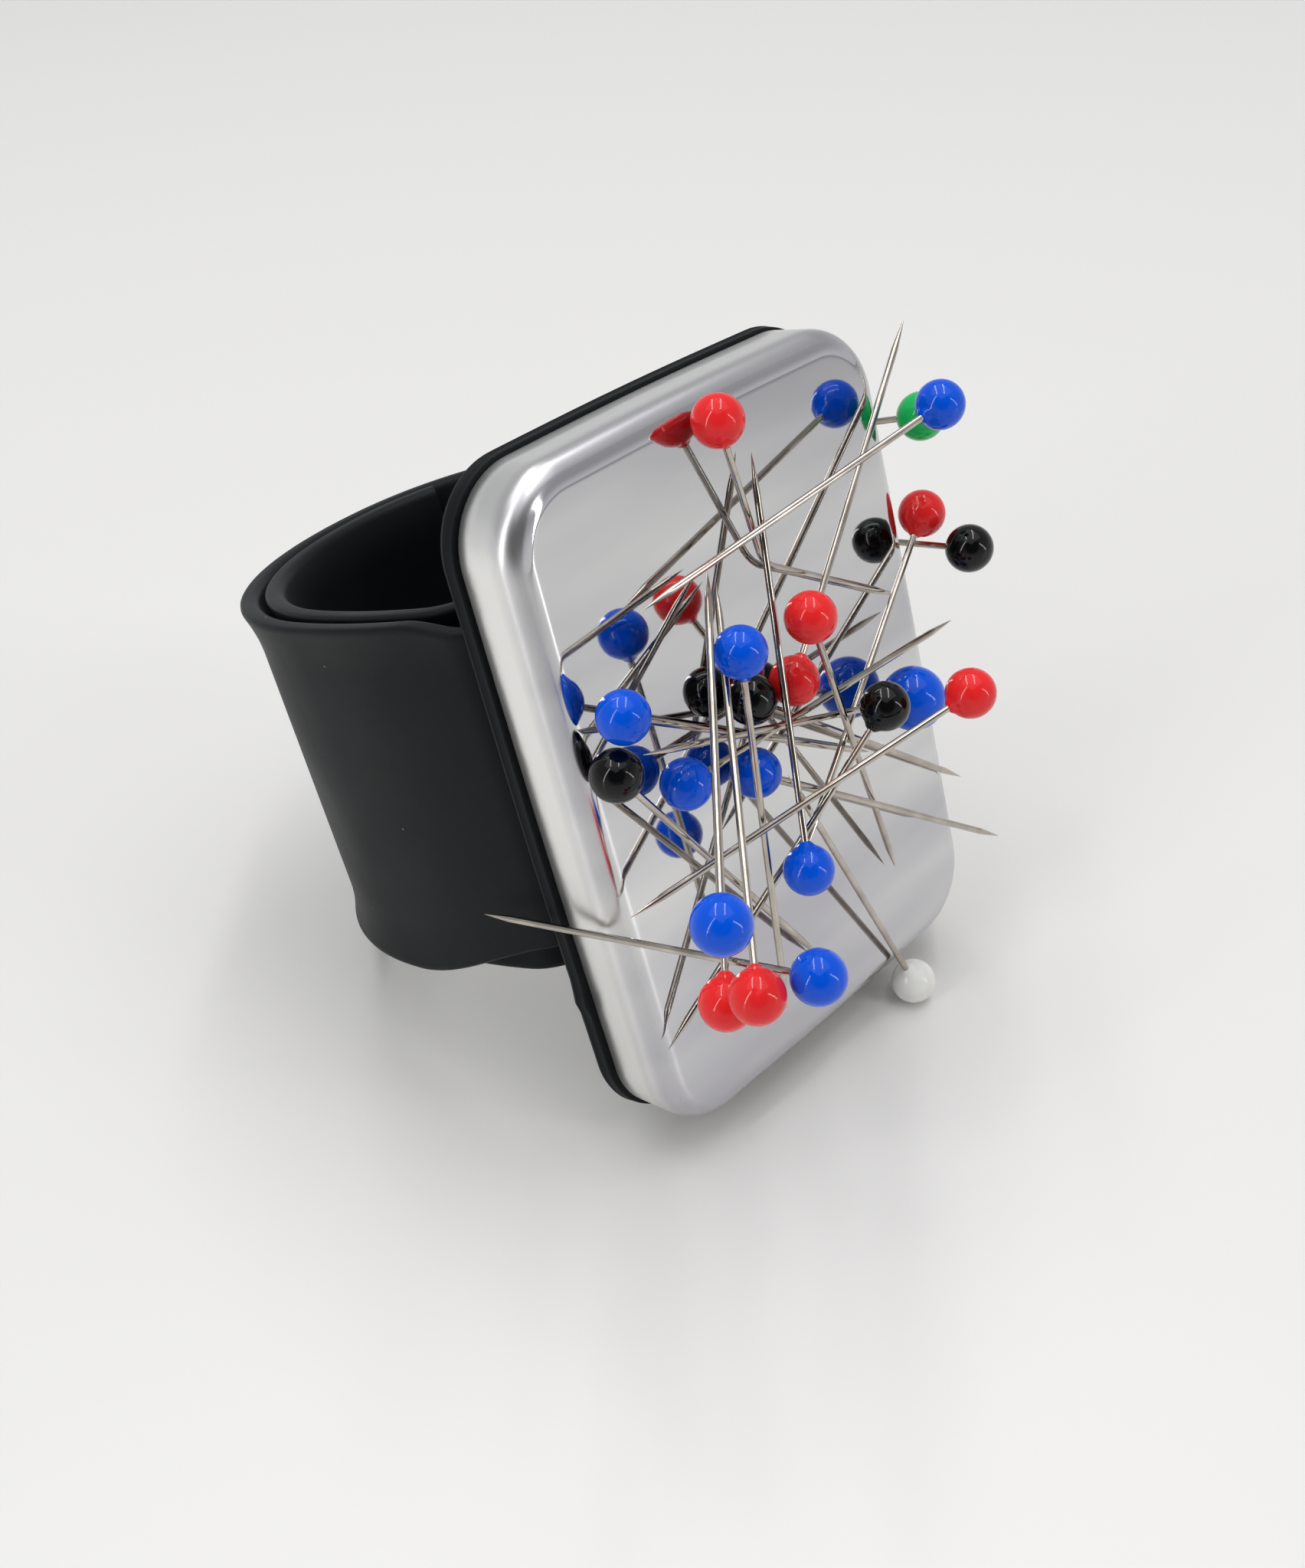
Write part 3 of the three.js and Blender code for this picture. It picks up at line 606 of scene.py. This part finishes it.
def band_tree():
    """Geometry Nodes that carry the band's section along its route, narrow it at the neck and lift it."""
    tree = bpy.data.node_groups.new("Band along its route", "GeometryNodeTree")
    socket_inputs(
        tree,
        {
            "Route": "NodeSocketGeometry",
            "Start distance": 0.0,
            "Thickness": SLEEVE_THICKNESS,
            "Width": BAND_WIDTH,
            "Plain section": False,
            "Rim rounding": 0.6 * MM,
            "Rim flare": 0.9 * MM,
            "Flare reach": RIM_FLARE_REACH,
            "Neck drop at top": NECK_DROP_AT_TOP,
            "Neck rise at bottom": NECK_RISE_AT_BOTTOM,
            "Neck length at top": NECK_LENGTH_AT_TOP,
            "Neck length at bottom": NECK_LENGTH_AT_BOTTOM,
            "Rise": BAND_RISE,
            "Sag": BAND_SAG,
            "Finish": "NodeSocketMaterial",
        },
    )
    given = add_node(tree, "NodeGroupInput").outputs
    line = add_node(tree, "GeometryNodeMeshToCurve", inputs={"Mesh": given["Route"]})
    upright = add_node(tree, "GeometryNodeSetCurveNormal", {"mode": "Z_UP"}, {"Curve": line})
    here = add_node(tree, "GeometryNodeSplineParameter").outputs["Length"]
    distance = add_node(tree, "ShaderNodeMath", {"operation": "ADD"}, {0: here, 1: given["Start distance"]})
    measured = add_node(
        tree,
        "GeometryNodeStoreNamedAttribute",
        {"data_type": "FLOAT", "domain": "POINT"},
        {"Geometry": upright, "Name": "distance", "Value": distance},
    )
    place = add_node(tree, "GeometryNodeInputPosition").outputs["Position"]
    out = add_node(tree, "ShaderNodeSeparateXYZ", inputs={"Vector": place}).outputs["Y"]
    marked = add_node(
        tree,
        "GeometryNodeStoreNamedAttribute",
        {"data_type": "FLOAT", "domain": "POINT"},
        {"Geometry": measured, "Name": "line_out", "Value": out},
    )
    swept = add_node(
        tree,
        "GeometryNodeCurveToMesh",
        inputs={"Curve": marked, "Profile Curve": band_section(tree, given), "Fill Caps": True},
    )
    shaped = add_node(
        tree,
        "GeometryNodeSetPosition",
        inputs={"Geometry": swept, "Position": band_position(tree, given)},
    )
    corners = add_node(tree, "GeometryNodeInputMeshFaceNeighbors").outputs["Vertex Count"]
    side = add_node(tree, "ShaderNodeMath", {"operation": "LESS_THAN"}, {0: corners, 1: 4.5})
    smooth = add_node(tree, "GeometryNodeSetShadeSmooth", inputs={"Geometry": shaped, "Shade Smooth": side})
    close_tree(tree, smooth, given["Finish"])
    return tree


def band_section(tree, given):
    """The sleeve's section with rounded rims that flare outwards, or a plain strip's."""
    strip = add_node(
        tree,
        "GeometryNodeCurvePrimitiveQuadrilateral",
        inputs={"Width": given["Thickness"], "Height": given["Width"]},
    )
    rounded = add_node(
        tree,
        "GeometryNodeFilletCurve",
        {"mode": "POLY"},
        {"Curve": strip, "Count": 6, "Radius": given["Rim rounding"], "Limit Radius": True},
    )
    fine = add_node(
        tree,
        "GeometryNodeResampleCurve",
        {"mode": "LENGTH"},
        {"Curve": rounded, "Length": SECTION_STEP},
    )
    place = add_node(tree, "GeometryNodeInputPosition").outputs["Position"]
    height = add_node(tree, "ShaderNodeSeparateXYZ", inputs={"Vector": place}).outputs["Y"]
    from_middle = add_node(tree, "ShaderNodeMath", {"operation": "ABSOLUTE"}, {0: height})
    half = add_node(tree, "ShaderNodeMath", {"operation": "MULTIPLY"}, {0: given["Width"], 1: 0.5})
    inset = add_node(tree, "ShaderNodeMath", {"operation": "SUBTRACT"}, {0: half, 1: from_middle})
    nearness = add_node(
        tree,
        "ShaderNodeMapRange",
        inputs={
            "Value": inset,
            "From Min": 0.0,
            "From Max": given["Flare reach"],
            "To Min": 1.0,
            "To Max": 0.0,
        },
    )
    square = add_node(tree, "ShaderNodeMath", {"operation": "POWER"}, {0: nearness, 1: 2.0})
    flare = add_node(tree, "ShaderNodeMath", {"operation": "MULTIPLY"}, {0: square, 1: given["Rim flare"]})
    outwards = add_node(tree, "ShaderNodeCombineXYZ", inputs={"X": flare})
    flared = add_node(tree, "GeometryNodeSetPosition", inputs={"Geometry": fine, "Offset": outwards})
    choice = add_node(
        tree,
        "GeometryNodeSwitch",
        {"input_type": "GEOMETRY"},
        {"Switch": given["Plain section"], "False": flared, "True": strip},
    )
    return choice.outputs["Output"]


def band_position(tree, given):
    """Heights drawn in at the neck, and raised with the band's lean."""
    distance = add_node(tree, "GeometryNodeInputNamedAttribute", {"data_type": "FLOAT"}, {"Name": "distance"})
    line_out = add_node(tree, "GeometryNodeInputNamedAttribute", {"data_type": "FLOAT"}, {"Name": "line_out"})
    place = add_node(tree, "GeometryNodeInputPosition").outputs["Position"]
    parts = add_node(tree, "ShaderNodeSeparateXYZ", inputs={"Vector": place}).outputs
    drawn_in = []
    for amount, length in (
        ("Neck rise at bottom", "Neck length at bottom"),
        ("Neck drop at top", "Neck length at top"),
    ):
        eased = add_node(
            tree,
            "ShaderNodeMapRange",
            {"interpolation_type": "SMOOTHSTEP"},
            {
                "Value": distance.outputs["Attribute"],
                "From Min": 0.0,
                "From Max": given[length],
                "To Min": given[amount],
                "To Max": 0.0,
            },
        )
        drawn_in.append(eased)
    above = add_node(tree, "ShaderNodeMath", {"operation": "GREATER_THAN"}, {0: parts["Z"], 1: 0.0})
    narrowing = add_node(
        tree,
        "GeometryNodeSwitch",
        {"input_type": "FLOAT"},
        {"Switch": above, "False": drawn_in[0], "True": drawn_in[1]},
    )
    half = add_node(tree, "ShaderNodeMath", {"operation": "MULTIPLY"}, {0: given["Width"], 1: 0.5})
    share = add_node(tree, "ShaderNodeMath", {"operation": "DIVIDE"}, {0: narrowing, 1: half})
    kept = add_node(tree, "ShaderNodeMath", {"operation": "SUBTRACT"}, {0: 1.0, 1: share})
    lift = add_node(
        tree,
        "ShaderNodeMath",
        {"operation": "MULTIPLY_ADD"},
        {0: line_out.outputs["Attribute"], 1: given["Sag"], 2: given["Rise"]},
    )
    height = add_node(
        tree,
        "ShaderNodeMath",
        {"operation": "MULTIPLY_ADD"},
        {0: parts["Z"], 1: kept, 2: lift},
    )
    moved = add_node(tree, "ShaderNodeCombineXYZ", inputs={"X": parts["X"], "Y": parts["Y"], "Z": height})
    return moved.outputs["Vector"]


def band_piece(name, start, end, tree, values):
    """A length of the band or its strip, grown along the route and stood up on the plate's axes."""
    route = []
    for distance in band_stations(start, end, ROUTE_STEP):
        across, out, _ = band_place(distance)
        route.append((across, out, 0))
    made = grown(name, route, tree, {**values, "Start distance": start})
    axes = Matrix((PLATE_RIGHT, FACE_OUT, PLATE_UP)).transposed().to_4x4()
    made.data.transform(Matrix.Translation(PLATE_ORIGIN) @ axes)
    made.data.flip_normals()
    return made


def segment_middle(index):
    """Distance along the band of the middle of one of its segments."""
    return BAND_ROOT_LENGTH + BAND_SEGMENT * (index + 0.5)


def hold_to_band(piece, index):
    """Lets the tail ride on the last band body; any other piece only has its transform baked into its mesh, and is
    not bent between bodies.
    """
    if index == BAND_SEGMENTS:
        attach(piece, f"band_{BAND_SEGMENTS}")
        return
    begin = segment_middle(index - 1) if index else BAND_ROOT_LENGTH * 0.5
    start = band_point(begin + BEND_MARGIN)
    end = band_point(segment_middle(index) - BEND_MARGIN)
    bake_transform(piece)


def plain_section(clearance, finish):
    """The tree's values for the strip, or for its channel with a clearance, which the neck doesn't narrow."""
    return {
        "Thickness": STRIP_THICKNESS + clearance,
        "Width": STRIP_WIDTH + clearance,
        "Plain section": True,
        "Neck drop at top": 0.0,
        "Neck rise at bottom": 0.0,
        "Finish": finish,
    }


def piece_spans():
    """Start and end distances of the band's pieces: each runs over one hinge, and the last is the tail."""
    edges = [2 * BAND_START_ACROSS] + [segment_middle(i) for i in range(BAND_SEGMENTS)] + [BAND_LENGTH]
    return list(zip(edges[:-1], edges[1:]))


# Pins


def pin_tree():
    """Geometry Nodes that make a pin's ball or its wire along the line it is given."""
    tree = bpy.data.node_groups.new("Ball-head pin", "GeometryNodeTree")
    socket_inputs(
        tree,
        {
            "Line": "NodeSocketGeometry",
            "Head radius": 2.245 * MM,
            "Wire radius": 0.315 * MM,
            "Point length": 3.2 * MM,
            "Collar length": COLLAR_LENGTH,
            "Collar radius": COLLAR_RADIUS,
            "Elbow radius": ELBOW_RADIUS,
            "Is ball": False,
            "Finish": "NodeSocketMaterial",
        },
    )
    given = add_node(tree, "NodeGroupInput").outputs
    line = add_node(tree, "GeometryNodeMeshToCurve", inputs={"Mesh": given["Line"]})
    elbow = add_node(
        tree,
        "GeometryNodeFilletCurve",
        {"mode": "POLY"},
        {"Curve": line, "Count": 14, "Radius": given["Elbow radius"], "Limit Radius": True},
    )
    wire = pin_wire(tree, given, elbow.outputs["Curve"])
    ball = pin_ball(tree, given, elbow.outputs["Curve"])
    choice = add_node(
        tree,
        "GeometryNodeSwitch",
        {"input_type": "GEOMETRY"},
        {"Switch": given["Is ball"], "False": wire, "True": ball},
    )
    smooth = add_node(tree, "GeometryNodeSetShadeSmooth", inputs={"Geometry": choice})
    close_tree(tree, smooth, given["Finish"])
    return tree


def pin_wire(tree, given, curve):
    """The wire: a round section along the curve, ground to a fine point at its end."""
    inside = add_node(tree, "ShaderNodeMath", {"operation": "MULTIPLY"}, {0: given["Head radius"], 1: 0.5})
    trimmed = add_node(tree, "GeometryNodeTrimCurve", {"mode": "LENGTH"}, {"Curve": curve, 4: inside, 5: 1.0})
    even = add_node(tree, "GeometryNodeResampleCurve", inputs={"Curve": trimmed, "Count": 110})
    whole = add_node(tree, "GeometryNodeSplineLength").outputs["Length"]
    here = add_node(tree, "GeometryNodeSplineParameter").outputs["Length"]
    left = add_node(tree, "ShaderNodeMath", {"operation": "SUBTRACT"}, {0: whole, 1: here})
    share = add_node(
        tree,
        "ShaderNodeMath",
        {"operation": "DIVIDE", "use_clamp": True},
        {0: left, 1: given["Point length"]},
    )
    fullness = add_node(tree, "ShaderNodeMath", {"operation": "POWER"}, {0: share, 1: 0.8})
    blunt = add_node(tree, "ShaderNodeMath", {"operation": "MAXIMUM"}, {0: fullness, 1: 0.03})
    radius = add_node(tree, "ShaderNodeMath", {"operation": "MULTIPLY"}, {0: blunt, 1: given["Wire radius"]})
    circle = add_node(tree, "GeometryNodeCurvePrimitiveCircle", inputs={"Resolution": 16, "Radius": 1.0})
    tube = add_node(
        tree,
        "GeometryNodeCurveToMesh",
        inputs={"Curve": even, "Profile Curve": circle, "Scale": radius, "Fill Caps": True},
    )
    return tube.outputs["Mesh"]


def pin_ball(tree, given, curve):
    """The ball: a sphere drawn down into a short collar where the wire leaves it."""
    ball = add_node(
        tree,
        "GeometryNodeMeshUVSphere",
        inputs={"Segments": 48, "Rings": 40, "Radius": given["Head radius"]},
    )
    place = add_node(tree, "GeometryNodeInputPosition").outputs["Position"]
    parts = add_node(tree, "ShaderNodeSeparateXYZ", inputs={"Vector": place}).outputs
    flat = add_node(tree, "ShaderNodeCombineXYZ", inputs={"X": parts["X"], "Y": parts["Y"]})
    aside = add_node(tree, "ShaderNodeVectorMath", {"operation": "LENGTH"}, {"Vector": flat})
    share = add_node(
        tree,
        "ShaderNodeMath",
        {"operation": "DIVIDE"},
        {0: aside.outputs["Value"], 1: given["Collar radius"]},
    )
    drop = add_node(
        tree,
        "ShaderNodeMapRange",
        {"interpolation_type": "SMOOTHSTEP"},
        {"Value": share, "From Min": 0.45, "From Max": 1.25, "To Min": given["Collar length"], "To Max": 0.0},
    )
    down = add_node(tree, "ShaderNodeMath", {"operation": "MULTIPLY"}, {0: drop, 1: -1.0})
    shift = add_node(tree, "ShaderNodeCombineXYZ", inputs={"Z": down})
    below = add_node(tree, "ShaderNodeMath", {"operation": "LESS_THAN"}, {0: parts["Z"], 1: 0.0})
    collared = add_node(
        tree,
        "GeometryNodeSetPosition",
        inputs={"Geometry": ball, "Selection": below, "Offset": shift},
    )
    start = add_node(tree, "GeometryNodeSampleCurve", {"mode": "FACTOR"}, {"Curves": curve, "Factor": 0.0})
    back = add_node(
        tree,
        "ShaderNodeVectorMath",
        {"operation": "SCALE"},
        {"Vector": start.outputs["Tangent"], "Scale": -1.0},
    )
    turn = add_node(tree, "FunctionNodeAlignRotationToVector", {"axis": "Z"}, {"Vector": back})
    stood = add_node(
        tree,
        "GeometryNodeTransform",
        inputs={"Geometry": collared, "Translation": start.outputs["Position"], "Rotation": turn},
    )
    return stood.outputs["Geometry"]


# Settings that a user would change


def length_setting(name, description, default, least, most):
    """A length setting, given in mm."""
    return FloatProperty(
        name=name,
        description=description,
        default=default * MM,
        min=least * MM,
        max=most * MM,
        unit="LENGTH",
        precision=4,
    )


def colour_setting(name, default):
    """A colour setting, given in sRGB hex."""
    return FloatVectorProperty(
        name=name,
        description=f"Colour of the {name.lower()}",
        subtype="COLOR",
        size=4,
        min=0,
        max=1,
        default=linear(default),
    )


class CushionSizes(bpy.types.PropertyGroup):
    """Sizes of the visible pieces."""

    shoulder: length_setting("Cap shoulder", "Radius of the cap's shoulder between wall and face", 2.3, 0.8, 4)
    rim_flare: length_setting("Rim flare", "How far the band's rims stand outwards", 0.9, 0, 2)
    rim_rounding: length_setting("Rim rounding", "Radius of the band's rounded edges", 0.6, 0.1, 0.9)
    head: length_setting("Head radius", "Radius of the pins' ball heads", 2.245, 1, 4)
    large_head: length_setting("Large head radius", "Radius of the one larger head", 3.05, 1, 5)
    wire: length_setting("Wire radius", "Radius of the pins' wire", 0.315, 0.15, 0.6)
    point: length_setting("Point length", "Length over which the wire is ground to a point", 3.2, 1, 8)


class CushionColours(bpy.types.PropertyGroup):
    """Colours of the plastics, the silicone and the floor."""

    blue: colour_setting("Blue heads", "#0058E4")
    red: colour_setting("Red heads", "#F32A2C")
    black: colour_setting("Black heads", "#08090A")
    green: colour_setting("Green head", "#18C261")
    white: colour_setting("White head", "#F8F8F2")
    silicone: colour_setting("Holder and band", "#04080B")
    floor: colour_setting("Floor", "#E6E5E3")


class CushionLight(bpy.types.PropertyGroup):
    """Strength of the studio light."""

    room: FloatProperty(
        name="Room light", description="Strength of the light from the walls", default=1.0, min=0, max=10
    )
    ceiling: FloatProperty(
        name="Ceiling light", description="Power of the wide soft light overhead, in watts", default=10, min=0
    )
    tubes: FloatProperty(
        name="Tubes", description="Radiance of the narrow lights beside it", default=9, min=0, max=100
    )


# Operators


class CUSHION_OT_steel_cap(bpy.types.Operator):
    """Builds the mirror-polished steel cap"""

    bl_idname = "cushion.steel_cap"
    bl_label = "Steel cap"

    def execute(self, context):
        shoulder = context.scene.cushion_sizes.shoulder
        outer = shoulder_rings(0, CAP_DEPTH, shoulder, CAP_EDGE_ROUNDING)
        under = shoulder - CAP_SHEET
        inner = shoulder_rings(CAP_SHEET, CAP_DEPTH - CAP_SHEET, under, -CAP_EDGE_ROUNDING)
        cap = loft("steel_cap_drawn", list(reversed(inner)) + outer, mirror_stainless())
        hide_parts("steel_cap")
        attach(cap, "holder")
        return {"FINISHED"}


class CUSHION_OT_holder(bpy.types.Operator):
    """Builds the silicone holder behind the cap"""

    bl_idname = "cushion.holder"
    bl_label = "Silicone holder"

    def execute(self, context):
        block_inset = CAP_SHEET + SEAT_GAP
        rings = holder_rings()
        rings.append(outline_ring(block_inset, -HOLDER_GROOVE))
        rings.append(outline_ring(block_inset, LOCATING_BLOCK_HEIGHT))
        holder = loft("silicone_holder_moulded", rings, silicone(context))
        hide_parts("silicone_holder")
        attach(holder, "holder")
        return {"FINISHED"}


def silicone(context):
    """The silicone that the holder and the band share."""
    name = "Moulded silicone rubber"
    return bpy.data.materials.get(name) or moulded_silicone(context.scene.cushion_colours.silicone)


class CUSHION_OT_magnet(bpy.types.Operator):
    """Gives the hidden magnet its finish"""

    bl_idname = "cushion.magnet"
    bl_label = "Magnet"

    def execute(self, context):
        magnet = frame["nodes"]["magnet"]
        magnet.data.materials.clear()
        magnet.data.materials.append(sintered_ferrite())
        return {"FINISHED"}


class CUSHION_OT_band(bpy.types.Operator):
    """Builds the band's silicone sleeve in pieces, each running over one hinge"""

    bl_idname = "cushion.band"
    bl_label = "Band sleeve"

    def execute(self, context):
        sizes = context.scene.cushion_sizes
        tree = band_tree()
        sleeve_values = {
            "Rim flare": sizes.rim_flare,
            "Rim rounding": sizes.rim_rounding,
            "Finish": silicone(context),
        }
        channel_values = plain_section(2 * CHANNEL_CLEARANCE, silicone(context))
        for index, (start, end) in enumerate(piece_spans()):
            last = index == BAND_SEGMENTS
            sleeve = band_piece(f"band_sleeve_piece_{index}", start, end, tree, sleeve_values)
            channel_start = start - CHANNEL_OVERLAP if index else start + SEAT_GAP
            channel_end = end - STRIP_END_INSET + CHANNEL_CLEARANCE if last else end + CHANNEL_OVERLAP
            cut_away(sleeve, band_piece("channel", channel_start, channel_end, tree, channel_values))
            if index:
                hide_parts(f"band_sleeve_{index}")
            hold_to_band(sleeve, index)
        return {"FINISHED"}


class CUSHION_OT_spring_strip(bpy.types.Operator):
    """Builds the spring-steel strip inside the band"""

    bl_idname = "cushion.spring_strip"
    bl_label = "Spring strip"

    def execute(self, context):
        tree = band_tree()
        values = plain_section(0.0, rolled_spring_steel())
        for index, (start, end) in enumerate(piece_spans()):
            begin = start if index else start + SEAT_GAP + CHANNEL_CLEARANCE
            finish = end - STRIP_END_INSET if index == BAND_SEGMENTS else end
            strip = band_piece(f"spring_strip_piece_{index}", begin, finish, tree, values)
            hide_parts(f"spring_strip_{index}" if index else "spring_strip_root")
            hold_to_band(strip, index)
        return {"FINISHED"}


class CUSHION_OT_pins(bpy.types.Operator):
    """Builds the ball-head pins that lie and stand on the magnet"""

    bl_idname = "cushion.pins"
    bl_label = "Pins"

    def execute(self, context):
        sizes = context.scene.cushion_sizes
        colours = context.scene.cushion_colours
        tree = pin_tree()
        wire_finish = nickelled_wire()
        plastics = {
            name: polystyrene(f"{name.capitalize()} polystyrene", getattr(colours, name))
            for name in ("blue", "red", "black", "green", "white")
        }
        for name, plastic, points in pin_lines():
            values = {
                "Head radius": sizes.large_head if name.startswith("large") else sizes.head,
                "Wire radius": sizes.wire,
                "Point length": sizes.point,
            }
            ball = grown(name + "_ball", points, tree, {**values, "Is ball": True, "Finish": plastics[plastic]})
            wire = grown(name + "_wire", points, tree, {**values, "Is ball": False, "Finish": wire_finish})
            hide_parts(name + "_head")
            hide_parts(name + "_shaft")
            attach(ball, name)
            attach(wire, name)
        return {"FINISHED"}


def pin_lines():
    """Each pin's name, its plastic and the line of its wire from the head's centre to the tip."""
    lines = []
    for name, plastic, head, aim in PIN_PLACES:
        centre, target = on_face(head), on_face(aim)
        tip = centre + (target - centre).normalized() * PIN_LENGTH
        lines.append((name, plastic, [centre, tip]))
    lines.append(("bent_red_pin", "red", [on_face(point) for point in BENT_PIN_PATH]))
    return lines


class CUSHION_OT_stage(bpy.types.Operator):
    """Adds the floor, the soft light and the camera"""

    bl_idname = "cushion.stage"
    bl_label = "Stage"

    def execute(self, context):
        light = context.scene.cushion_light
        mesh = bpy.data.meshes.new("floor")
        mesh.from_pydata(
            [(-FLOOR_REACH, -FLOOR_REACH, 0), (FLOOR_REACH, -FLOOR_REACH, 0),
             (FLOOR_REACH, FLOOR_REACH, 0), (-FLOOR_REACH, FLOOR_REACH, 0)],
            [],
            [(0, 1, 2, 3)],
        )
        mesh.materials.append(white_laminate(context.scene.cushion_colours.floor))
        new_object("floor", mesh)
        context.scene.world = room(light.room)
        add_light("ceiling", CEILING_PLACE, Vector(), CEILING_SIZE, CEILING_SIZE, light.ceiling)
        for index, (first, second) in enumerate(TUBES):
            first, second = Vector(first), Vector(second)
            length = (second - first).length
            power = light.tubes * math.pi * length * TUBE_WIDTH
            add_light(f"tube_{index + 1}", (first + second) / 2, second - first, length, TUBE_WIDTH, power)
        add_camera(context)
        return {"FINISHED"}


def room(strength):
    """A pale room, dimmer overhead and dark where the photographer stands."""
    world = bpy.data.worlds.new("Room")
    world.use_nodes = True
    tree = world.node_tree
    tree.nodes.clear()
    coordinates = add_node(tree, "ShaderNodeTexCoord")
    parts = add_node(tree, "ShaderNodeSeparateXYZ", inputs={"Vector": coordinates.outputs["Generated"]})
    height = add_node(
        tree,
        "ShaderNodeMapRange",
        {"interpolation_type": "SMOOTHSTEP"},
        {"Value": parts.outputs["Z"], "From Min": 0.0, "From Max": 0.4, "To Min": 0.7, "To Max": 0.44},
    )
    towards = add_node(
        tree,
        "ShaderNodeVectorMath",
        {"operation": "DOT_PRODUCT"},
        {0: coordinates.outputs["Generated"], 1: -turned(CAMERA_FORWARD)},
    )
    photographer = add_node(
        tree,
        "ShaderNodeMapRange",
        {"interpolation_type": "SMOOTHSTEP"},
        {"Value": towards.outputs["Value"], "From Min": 0.7, "From Max": 0.9, "To Min": strength, "To Max": 0.15},
    )
    level = add_node(tree, "ShaderNodeMath", {"operation": "MULTIPLY"}, {0: height, 1: photographer})
    background = add_node(
        tree,
        "ShaderNodeBackground",
        inputs={"Color": linear("#FBFCFF"), "Strength": level},
    )
    add_node(tree, "ShaderNodeOutputWorld", inputs={"Surface": background})
    return world


def add_light(name, place, along, length, width, power):
    """A soft rectangular light with its long side along a direction, which faces the pin cushion."""
    data = bpy.data.lights.new(name, "AREA")
    data.shape = "RECTANGLE"
    data.size, data.size_y = length, width
    data.energy = power
    lamp = bpy.data.objects.new(name, data)
    bpy.context.scene.collection.objects.link(lamp)
    back = (Vector(place) - Vector((0, 0, 0.03))).normalized()
    if along.length:
        side = (along - back * along.dot(back)).normalized()
        axes = Matrix((side, back.cross(side), back)).transposed()
    else:
        axes = back.to_track_quat("Z", "Y").to_matrix()
    lamp.matrix_world = Matrix.Translation(place) @ axes.to_4x4()
    return lamp


def add_camera(context):
    """The camera, where the photograph was taken from."""
    data = bpy.data.cameras.new("camera")
    data.sensor_fit = "HORIZONTAL"
    data.sensor_width = 36
    data.lens = FOCAL_PIXELS / PHOTO_WIDTH * data.sensor_width
    data.shift_x = (PHOTO_WIDTH / 2 - CENTRE_PIXELS[0]) / PHOTO_WIDTH
    data.shift_y = (CENTRE_PIXELS[1] - PHOTO_HEIGHT / 2) / PHOTO_WIDTH
    data.clip_start = 0.01
    camera = bpy.data.objects.new("camera", data)
    context.scene.collection.objects.link(camera)
    right, up, back = turned(CAMERA_RIGHT), -turned(CAMERA_DOWN), -turned(CAMERA_FORWARD)
    axes = Matrix((right, up, back)).transposed().to_4x4()
    place = placed(*(CAMERA_PLACE * MM))
    camera.matrix_world = Matrix.Translation(place) @ axes
    context.scene.camera = camera


class CUSHION_PT_panel(bpy.types.Panel):
    """Lists the pin cushion's pieces and settings"""

    bl_idname = "CUSHION_PT_panel"
    bl_label = "Pin cushion"
    bl_space_type = "VIEW_3D"
    bl_region_type = "UI"
    bl_category = "Pin cushion"

    def draw(self, context):
        for operator in OPERATORS:
            self.layout.operator(operator.bl_idname)
        for group in (context.scene.cushion_sizes, context.scene.cushion_colours, context.scene.cushion_light):
            for name in group.__annotations__:
                self.layout.prop(group, name)


OPERATORS = (
    CUSHION_OT_steel_cap,
    CUSHION_OT_holder,
    CUSHION_OT_magnet,
    CUSHION_OT_band,
    CUSHION_OT_spring_strip,
    CUSHION_OT_pins,
    CUSHION_OT_stage,
)
CLASSES = (CushionSizes, CushionColours, CushionLight, *OPERATORS, CUSHION_PT_panel)


def register():
    for each in CLASSES:
        bpy.utils.register_class(each)
    bpy.types.Scene.cushion_sizes = PointerProperty(type=CushionSizes)
    bpy.types.Scene.cushion_colours = PointerProperty(type=CushionColours)
    bpy.types.Scene.cushion_light = PointerProperty(type=CushionLight)


def unregister():
    del bpy.types.Scene.cushion_light
    del bpy.types.Scene.cushion_colours
    del bpy.types.Scene.cushion_sizes
    for each in reversed(CLASSES):
        bpy.utils.unregister_class(each)


def main():
    register()
    bpy.context.scene.view_settings.view_transform = "Standard"
    bpy.ops.cushion.steel_cap()
    bpy.ops.cushion.holder()
    bpy.ops.cushion.magnet()
    bpy.ops.cushion.band()
    bpy.ops.cushion.spring_strip()
    bpy.ops.cushion.pins()
    bpy.ops.cushion.stage()


if __name__ == "__main__":
    main()
